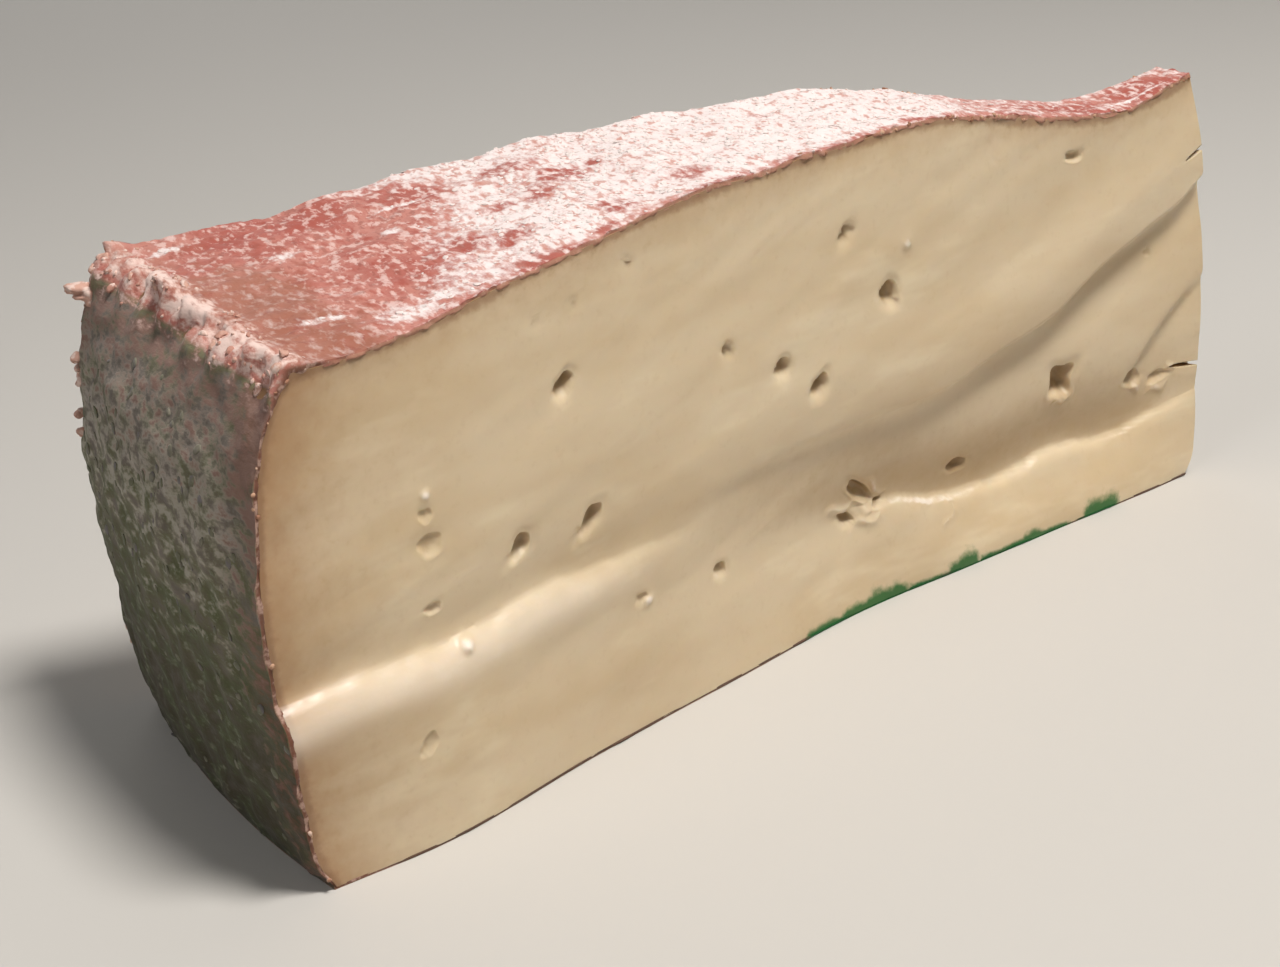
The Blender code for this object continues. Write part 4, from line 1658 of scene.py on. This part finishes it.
    def heel_zones(self, level: np.ndarray, lip: np.ndarray, from_front: np.ndarray) -> Zones:
        """The zones of the heel: its mould colours, paler towards the top and darker towards the bottom,
        painted shade at its foot, and brown rind that the mould left bare.

        Args:
            level: Heights up the heel.
            lip: How near each place is to the lip, from 0 to 1.
            from_front: How far each is from the front face.

        Returns:
            How much of each there would be on the heel, by name.
        """
        below_lip = 1.0 - ease(0.10, 0.45, lip)
        green = 0.36 + 0.15 * ease(0.0040, 0.0320, level) - 0.14 * ease(0.0300, 0.0650, level)
        brown = 0.45 * ease(0.0480, 0.0660, level) + 0.45 * (1.0 - ease(0.0, 0.0120, from_front))
        brown += 0.25 * ease(0.0630, 0.0690, level)
        return {
            "heel": 1.0 - ease(0.25, 0.75, lip),
            "heel_green": below_lip * green,
            # Painted shade at the foot of the heel.
            "heel_foot_shade": below_lip * (1.0 - ease(0.0090, 0.0570, level)),
            "heel_violet": below_lip * (0.06 + 0.40 * ease(0.0250, 0.0600, level)),
            "heel_pale": below_lip * (0.05 + 0.53 * ease(0.0260, 0.0600, level)),
            "heel_dark": below_lip * (0.58 - 0.26 * ease(0.0100, 0.0550, level)),
            "brown": np.clip(brown, 0.0, 1.0) * (1.0 - lip),
        }

    def roughen(
        self, points: np.ndarray, zones: Zones, skin: np.ndarray, on_heel: np.ndarray
    ) -> np.ndarray:
        """Adds the rind's fine relief, the lumps of the lip and the groove on top, towards the back.

        Args:
            points: Block points of the shell.
            zones: The zones of growth.
            skin: Which points are on the outer skin.
            on_heel: 1 for those on the heel, 0 for the others.

        Returns:
            The points, moved out of the skin.
        """
        lip = zones["lip"] / self.lip_cover
        top = np.clip(1.0 - on_heel - zones["under"], 0.0, 1.0)
        lumps = np.clip(0.25 + bumps(points, self.lump_pitch, self.lump_seed), 0.0, 1.0)
        lumps += 0.50 * bumps(points, 0.42 * self.lump_pitch, 29.0)
        lumps += 0.22 * bumps(points, 0.20 * self.lump_pitch, 33.0)
        height = self.fine_bump * (1.0 - 0.5 * on_heel) * grit(points, self.fine_pitch, 21.0, 3)
        height += on_heel * self.heel_bump * bumps(points, self.heel_pitch, 37.0)
        height += lip * (self.ridge + self.lump * lumps)
        line = smooth_curve(self.groove_line, points[:, 0])
        within = ease(-0.0240, -0.0180, points[:, 0]) * (1.0 - ease(0.0200, 0.0320, points[:, 0]))
        height -= self.groove_depth * hill(points[:, 1] - line, self.groove_width) * within * top
        height = np.maximum(height, -self.deepest) * skin * (1.0 - zones["under"])
        rise = np.column_stack([-np.maximum(on_heel, lip), 0.0 * height, np.maximum(top, lip)])
        length = np.maximum(np.linalg.norm(rise, axis=1), ON_EDGE)
        return points + rise * (height / length)[:, None]


@dataclass(frozen=True)
class Tatter:
    """A scrap of rind that hangs on a cut edge of the heel: where it is, its half sizes and its lean."""

    across: float
    up: float
    half: Triple
    lean: float


@dataclass
class Tatters:
    """The torn scraps along the heel's far edge. rough is their unevenness in shares of their size."""

    form: WedgeForm
    finish: Finish = LIP_LUMP
    subdivisions: int = 3
    rough: float = 1.25
    rough_pitch: float = 0.0012
    sunk: float = 0.15
    tone: float = 0.35
    scraps: tuple[Tatter, ...] = (
        Tatter(0.985, 0.936, (0.0040, 0.0019, 0.0009), 0.22),
        Tatter(0.975, 0.922, (0.0020, 0.0020, 0.0011), 0.50),
        Tatter(0.995, 0.965, (0.0010, 0.0014, 0.0012), 0.30),
        Tatter(1.00, 0.795, (0.0009, 0.0009, 0.0010), 0.30),
        Tatter(1.00, 0.775, (0.0010, 0.0008, 0.0008), -0.30),
        Tatter(1.00, 0.750, (0.0007, 0.0008, 0.0011), 0.00),
        Tatter(1.00, 0.680, (0.0009, 0.0007, 0.0008), 0.10),
        Tatter(1.00, 0.640, (0.0006, 0.0007, 0.0009), 0.10),
        Tatter(0.99, 0.985, (0.0011, 0.0011, 0.0008), 0.50),
    )

    def build(self) -> bpy.types.Object:
        """Builds the scraps as one mesh of closed lumps, and dresses it.

        Returns:
            The piece.
        """
        mesh = bmesh.new()
        shares = np.array([(0.0, scrap.across, scrap.up) for scrap in self.scraps])
        roots = self.form.block_points(shares) - self.form.middle
        for scrap, root in zip(self.scraps, roots):
            place = Vector((root[0] - self.sunk * scrap.half[0], root[1], root[2]))
            turned = Matrix.Translation(place) @ Matrix.Rotation(scrap.lean, 4, "Y")
            turned = turned @ Matrix.Diagonal((*scrap.half, 1.0))
            lump = bmesh.ops.create_icosphere(
                mesh, subdivisions=self.subdivisions, radius=1.0, matrix=turned,
            )
            for vert in lump["verts"]:
                outward = (vert.co - place).normalized()
                vert.co += outward * self.rough * min(scrap.half) * noise.noise(vert.co / self.rough_pitch)
        plain = plain_mesh("heel_tatters", mesh)
        zones = {"tone": np.full(len(plain.vertices), self.tone)}
        return finish_piece("heel_tatters", plain, zones, self.finish.material())


@dataclass(frozen=True)
class Bits:
    """Many small lumps of one kind on the rind, spread by a field of its mesh."""

    name: str
    field: str
    per_square_mm: float
    smallest: float
    largest: float
    flatness: float
    ruggedness: float
    pitch: float
    seed: int
    finish: Finish
    tilt: float = 0.5
    sides: int = 3
    slot: Slot = Slot.RIND

    def inputs(self) -> tuple[tuple[str, str, Any], ...]:
        """Lists the tree's inputs other than the mesh and the finish.

        Returns:
            The name, the kind of socket and the value of each.
        """
        return (
            ("Field", "String", self.field),
            ("Density", "Float", self.per_square_mm * PER_METRE**2),
            ("Smallest", "Float", self.smallest),
            ("Largest", "Float", self.largest),
            ("Flatness", "Float", self.flatness),
            ("Ruggedness", "Float", self.ruggedness),
            ("Pitch", "Float", self.pitch),
            ("Tilt", "Float", self.tilt),
            ("Sides", "Int", self.sides),
            ("Seed", "Int", self.seed),
        )

    def tree(self) -> bpy.types.GeometryNodeTree:
        """Builds the node tree that strews lumps over the mesh it gets.

        Returns:
            A tree with named inputs for the density, the sizes, the seed and the finish.
        """
        tree = bpy.data.node_groups.new(self.name, "GeometryNodeTree")
        tree.interface.new_socket("Geometry", in_out="INPUT", socket_type="NodeSocketGeometry")
        for name, kind, _ in (*self.inputs(), ("Finish", "Material", None)):
            tree.interface.new_socket(name, in_out="INPUT", socket_type=f"NodeSocket{kind}")
        tree.interface.new_socket("Geometry", in_out="OUTPUT", socket_type="NodeSocketGeometry")
        given = add_node(tree, "NodeGroupInput").outputs
        amount = add_node(tree, "GeometryNodeInputNamedAttribute", {"data_type": "FLOAT"}, {
            "Name": given["Field"],
        })
        dense = add_node(tree, "ShaderNodeMath", {"operation": "MULTIPLY"}, {
            0: amount.outputs[0], 1: given["Density"],
        })
        spread = add_node(tree, "GeometryNodeDistributePointsOnFaces", {"distribute_method": "RANDOM"}, {
            "Mesh": given["Geometry"], "Density": dense.outputs[0], "Seed": given["Seed"],
        })
        cube = add_node(tree, "GeometryNodeMeshCube", None, {
            "Vertices X": given["Sides"], "Vertices Y": given["Sides"], "Vertices Z": given["Sides"],
        })
        place = add_node(tree, "GeometryNodeInputPosition").outputs[0]
        outward = add_node(tree, "ShaderNodeVectorMath", {"operation": "NORMALIZE"}, {0: place})
        half = add_node(tree, "ShaderNodeVectorMath", {"operation": "SCALE"}, {
            0: outward.outputs[0], "Scale": 0.5,
        })
        ball = add_node(tree, "GeometryNodeSetPosition", None, {
            "Geometry": cube.outputs["Mesh"], "Position": half.outputs[0],
        })
        turn = add_node(tree, "FunctionNodeRandomValue", {"data_type": "FLOAT_VECTOR"}, {
            0: (-1.0, -1.0, 0.0), 1: (1.0, 1.0, 2.0 * math.pi), "Seed": given["Seed"],
        })
        tilt = add_node(tree, "ShaderNodeCombineXYZ", None, {0: given["Tilt"], 1: given["Tilt"], 2: 1.0})
        tilted = add_node(tree, "ShaderNodeVectorMath", {"operation": "MULTIPLY"}, {
            0: turn.outputs[0], 1: tilt.outputs[0],
        })
        stand = add_node(tree, "FunctionNodeRotateRotation", {"rotation_space": "LOCAL"}, {
            0: spread.outputs["Rotation"], 1: tilted.outputs[0],
        })
        size = add_node(tree, "FunctionNodeRandomValue", {"data_type": "FLOAT"}, {
            2: given["Smallest"], 3: given["Largest"], "Seed": given["Seed"],
        })
        narrow = add_node(tree, "FunctionNodeRandomValue", {"data_type": "FLOAT"}, {
            2: 0.6, 3: 1.0, "Seed": 77,
        })
        wide = add_node(tree, "ShaderNodeMath", {"operation": "MULTIPLY"}, {
            0: size.outputs[1], 1: narrow.outputs[1],
        })
        high = add_node(tree, "ShaderNodeMath", {"operation": "MULTIPLY"}, {
            0: size.outputs[1], 1: given["Flatness"],
        })
        scale = add_node(tree, "ShaderNodeCombineXYZ", None, {
            0: size.outputs[1], 1: wide.outputs[0], 2: high.outputs[0],
        })
        copies = add_node(tree, "GeometryNodeInstanceOnPoints", None, {
            "Points": spread.outputs["Points"], "Instance": ball.outputs[0],
            "Rotation": stand.outputs[0], "Scale": scale.outputs[0],
        })
        tone = add_node(tree, "FunctionNodeRandomValue", {"data_type": "FLOAT"}, {
            2: 0.0, 3: 1.0, "Seed": 5,
        })
        on_each = {"data_type": "FLOAT", "domain": "INSTANCE"}
        toned = add_node(tree, "GeometryNodeStoreNamedAttribute", on_each, {
            "Geometry": copies.outputs[0], "Name": "tone", "Value": tone.outputs[1],
        })
        real = add_node(tree, "GeometryNodeRealizeInstances", None, {"Geometry": toned.outputs[0]})
        fine = add_node(tree, "ShaderNodeMath", {"operation": "DIVIDE"}, {0: 1.0, 1: given["Pitch"]})
        waves = add_node(tree, "ShaderNodeTexNoise", None, {"Scale": fine.outputs[0], "Detail": 2.0})
        centred = add_node(tree, "ShaderNodeVectorMath", {"operation": "SUBTRACT"}, {
            0: waves.outputs["Color"], 1: (0.5, 0.5, 0.5),
        })
        shift = add_node(tree, "ShaderNodeVectorMath", {"operation": "SCALE"}, {
            0: centred.outputs[0], "Scale": given["Ruggedness"],
        })
        rugged = add_node(tree, "GeometryNodeSetPosition", None, {
            "Geometry": real.outputs[0], "Offset": shift.outputs[0],
        })
        smooth = add_node(tree, "GeometryNodeSetShadeSmooth", None, {"Geometry": rugged.outputs[0]})
        dressed = add_node(tree, "GeometryNodeSetMaterial", None, {
            "Geometry": smooth.outputs[0], "Material": given["Finish"],
        })
        add_node(tree, "NodeGroupOutput", None, {0: dressed.outputs[0]})
        return tree

    def build(self, bed: bpy.types.Object) -> bpy.types.Object:
        """Strews the bits over a piece and makes them a piece of their own.

        Args:
            bed: The piece that they lie on, which has the field.

        Returns:
            One plain mesh with all the bits.
        """
        holder = add_object(self.name + "_bed", bed.data)
        modifier = holder.modifiers.new("bits", "NODES")
        modifier.node_group = self.tree()
        material = self.finish.material()
        values = {name: value for name, _, value in self.inputs()}
        values["Finish"] = material
        for item in modifier.node_group.interface.items_tree:
            if item.name in values:
                modifier[item.identifier] = values[item.name]
        graph = bpy.context.evaluated_depsgraph_get()
        mesh = bpy.data.meshes.new_from_object(holder.evaluated_get(graph), depsgraph=graph)
        mesh.name = self.name
        bpy.data.objects.remove(holder)
        return finish_piece(self.name, mesh, {}, material)


def loft(rows: int, places: int, points: np.ndarray) -> bpy.types.Mesh:
    """Joins closed loops into one closed skin with a cap at each end.

    Args:
        rows: How many loops there are.
        places: How many points each loop has.
        points: The points, loop by loop.

    Returns:
        A mesh with its normals outward, shaded smooth.
    """
    start = np.arange(rows - 1)[:, None] * places
    here = np.arange(places)[None, :]
    after = (here + 1) % places
    quads = np.stack([start + here, start + after, start + places + after, start + places + here], axis=-1)
    first = list(range(places))
    last = [(rows - 1) * places + k for k in range(places)]
    mesh = bpy.data.meshes.new("loft")
    mesh.from_pydata(points.tolist(), [], quads.reshape(-1, 4).tolist() + [first[::-1], last])
    work = bmesh.new()
    work.from_mesh(mesh)
    bmesh.ops.recalc_face_normals(work, faces=work.faces)
    caps = [face for face in work.faces if len(face.verts) > 4]
    bmesh.ops.triangulate(work, faces=caps)
    work.to_mesh(mesh)
    work.free()
    mesh.shade_smooth()
    return mesh


@dataclass(frozen=True)
class Camera:
    """The viewing place of the photo: position in metres, turns in degrees."""

    place: Triple = (-0.1784, -0.2897, 0.1637)
    yaw: float = -28.87
    pitch: float = 22.18
    roll: float = -5.15
    lens_mm: float = 63.79
    sensor_mm: float = 36.0

    def build(self) -> None:
        """Adds the camera and makes it the scene's."""
        data = bpy.data.cameras.new("camera")
        data.lens = self.lens_mm
        data.sensor_width = self.sensor_mm
        data.sensor_fit = "HORIZONTAL"
        data.clip_start = 0.01
        data.clip_end = 20.0
        camera = add_object("camera", data)
        turn = Matrix.Rotation(math.radians(self.yaw), 4, "Z")
        turn = turn @ Matrix.Rotation(math.radians(90.0 - self.pitch), 4, "X")
        turn = turn @ Matrix.Rotation(math.radians(self.roll), 4, "Z")
        camera.matrix_world = Matrix.Translation(self.place) @ turn
        bpy.context.scene.camera = camera


@dataclass(frozen=True)
class Softbox:
    """One soft light: where it is, how large, how strong in watts, and its colour."""

    name: str
    place: Triple
    size: float
    power: float
    colour: str = "#FFFFFF"


@dataclass(frozen=True)
class Studio:
    """A pale floor, one strong soft light high in front, and weak ones in front, at the heel and behind."""

    floor_size: float = 6.0
    floor_colour: str = "#C6C2BC"
    sky_colour: str = "#FFFFFF"
    sky_strength: float = 0.07
    aim: Triple = (0.0, 0.0, 0.035)
    lights: tuple[Softbox, ...] = (
        Softbox("key_light", (0.14, -0.32, 0.88), 0.26, 9.5, "#FFFCF8"),
        Softbox("front_light", (0.30, -1.10, 0.45), 0.60, 0.4, "#FFFBF5"),
        Softbox("heel_light", (-0.75, -0.20, 0.70), 0.50, 1.6, "#FFFFFF"),
        Softbox("back_light", (0.30, 1.10, 0.55), 0.70, 2.0, "#FFFFFF"),
    )

    def build(self) -> None:
        """Adds the floor, the lights and the even light all round."""
        self.build_floor()
        for light in self.lights:
            data = bpy.data.lights.new(light.name, "AREA")
            data.shape = "DISK"
            data.size = light.size
            data.energy = light.power
            data.color = linear(light.colour)[:3]
            lamp = add_object(light.name, data)
            lamp.location = light.place
            way = Vector(self.aim) - Vector(light.place)
            lamp.rotation_euler = way.to_track_quat("-Z", "Y").to_euler()
        world = bpy.data.worlds.new("soft_room")
        world.use_nodes = True
        shader = world.node_tree.nodes["Background"]
        shader.inputs["Color"].default_value = linear(self.sky_colour)
        shader.inputs["Strength"].default_value = self.sky_strength
        bpy.context.scene.world = world
        bpy.context.scene.view_settings.view_transform = "Standard"

    def build_floor(self) -> None:
        """Adds a plain matt floor, which isn't part of the wedge."""
        work = bmesh.new()
        bmesh.ops.create_grid(work, x_segments=1, y_segments=1, size=0.5 * self.floor_size)
        mesh = plain_mesh("floor", work)
        floor = add_object("floor", mesh)
        made = bpy.data.materials.new("matt_paper_floor")
        made.use_nodes = True
        shader = made.node_tree.nodes["Principled BSDF"]
        shader.inputs["Base Color"].default_value = linear(self.floor_colour)
        shader.inputs["Roughness"].default_value = 0.9
        mesh.materials.append(made)


BITS = (
    Bits(
        name="lip_lumps", field="lip", per_square_mm=0.06, smallest=0.0009, largest=0.0018, flatness=0.55,
        ruggedness=0.0013, pitch=0.0010, sides=5, seed=3, finish=LIP_LUMP,
    ),
    Bits(
        name="lip_crumbs", field="lip", per_square_mm=0.16, smallest=0.0003, largest=0.0009, flatness=0.7,
        ruggedness=0.0005, pitch=0.0006, seed=8, finish=LIP_LUMP,
    ),
    Bits(
        name="edge_crumbs", field="edge_bits", per_square_mm=0.55, smallest=0.0003, largest=0.0009,
        flatness=0.6, ruggedness=0.0005, pitch=0.0005, seed=4, finish=RIND_CRUMB,
    ),
    Bits(
        name="bloom_tufts", field="bloom_bits", per_square_mm=0.50, smallest=0.0004, largest=0.0012,
        flatness=0.22, ruggedness=0.0003, pitch=0.0006, tilt=0.12, seed=5, finish=DRY_BLOOM,
        slot=Slot.BLOOM,
    ),
    Bits(
        name="mould_tufts", field="mould_bits", per_square_mm=0.06, smallest=0.0007, largest=0.0022,
        flatness=0.16, ruggedness=0.0003, pitch=0.0008, tilt=0.06, seed=6, finish=HEEL_MOULD,
        slot=Slot.BLOOM,
    ),
)


def main() -> None:
    """Builds every piece in order and reports it."""
    logging.basicConfig(level=logging.INFO, format="%(message)s")
    Camera().build()
    Studio().build()
    form = WedgeForm()
    paste = Paste(form).build()
    rind = Rind(form).build()
    tatters = Tatters(form).build()
    strewn = [bits.build(rind) for bits in BITS]
    for piece in (paste, rind, tatters, *strewn):
        LOG.info("%s: %d faces", piece.name, len(piece.data.polygons))


if __name__ == "__main__":
    main()
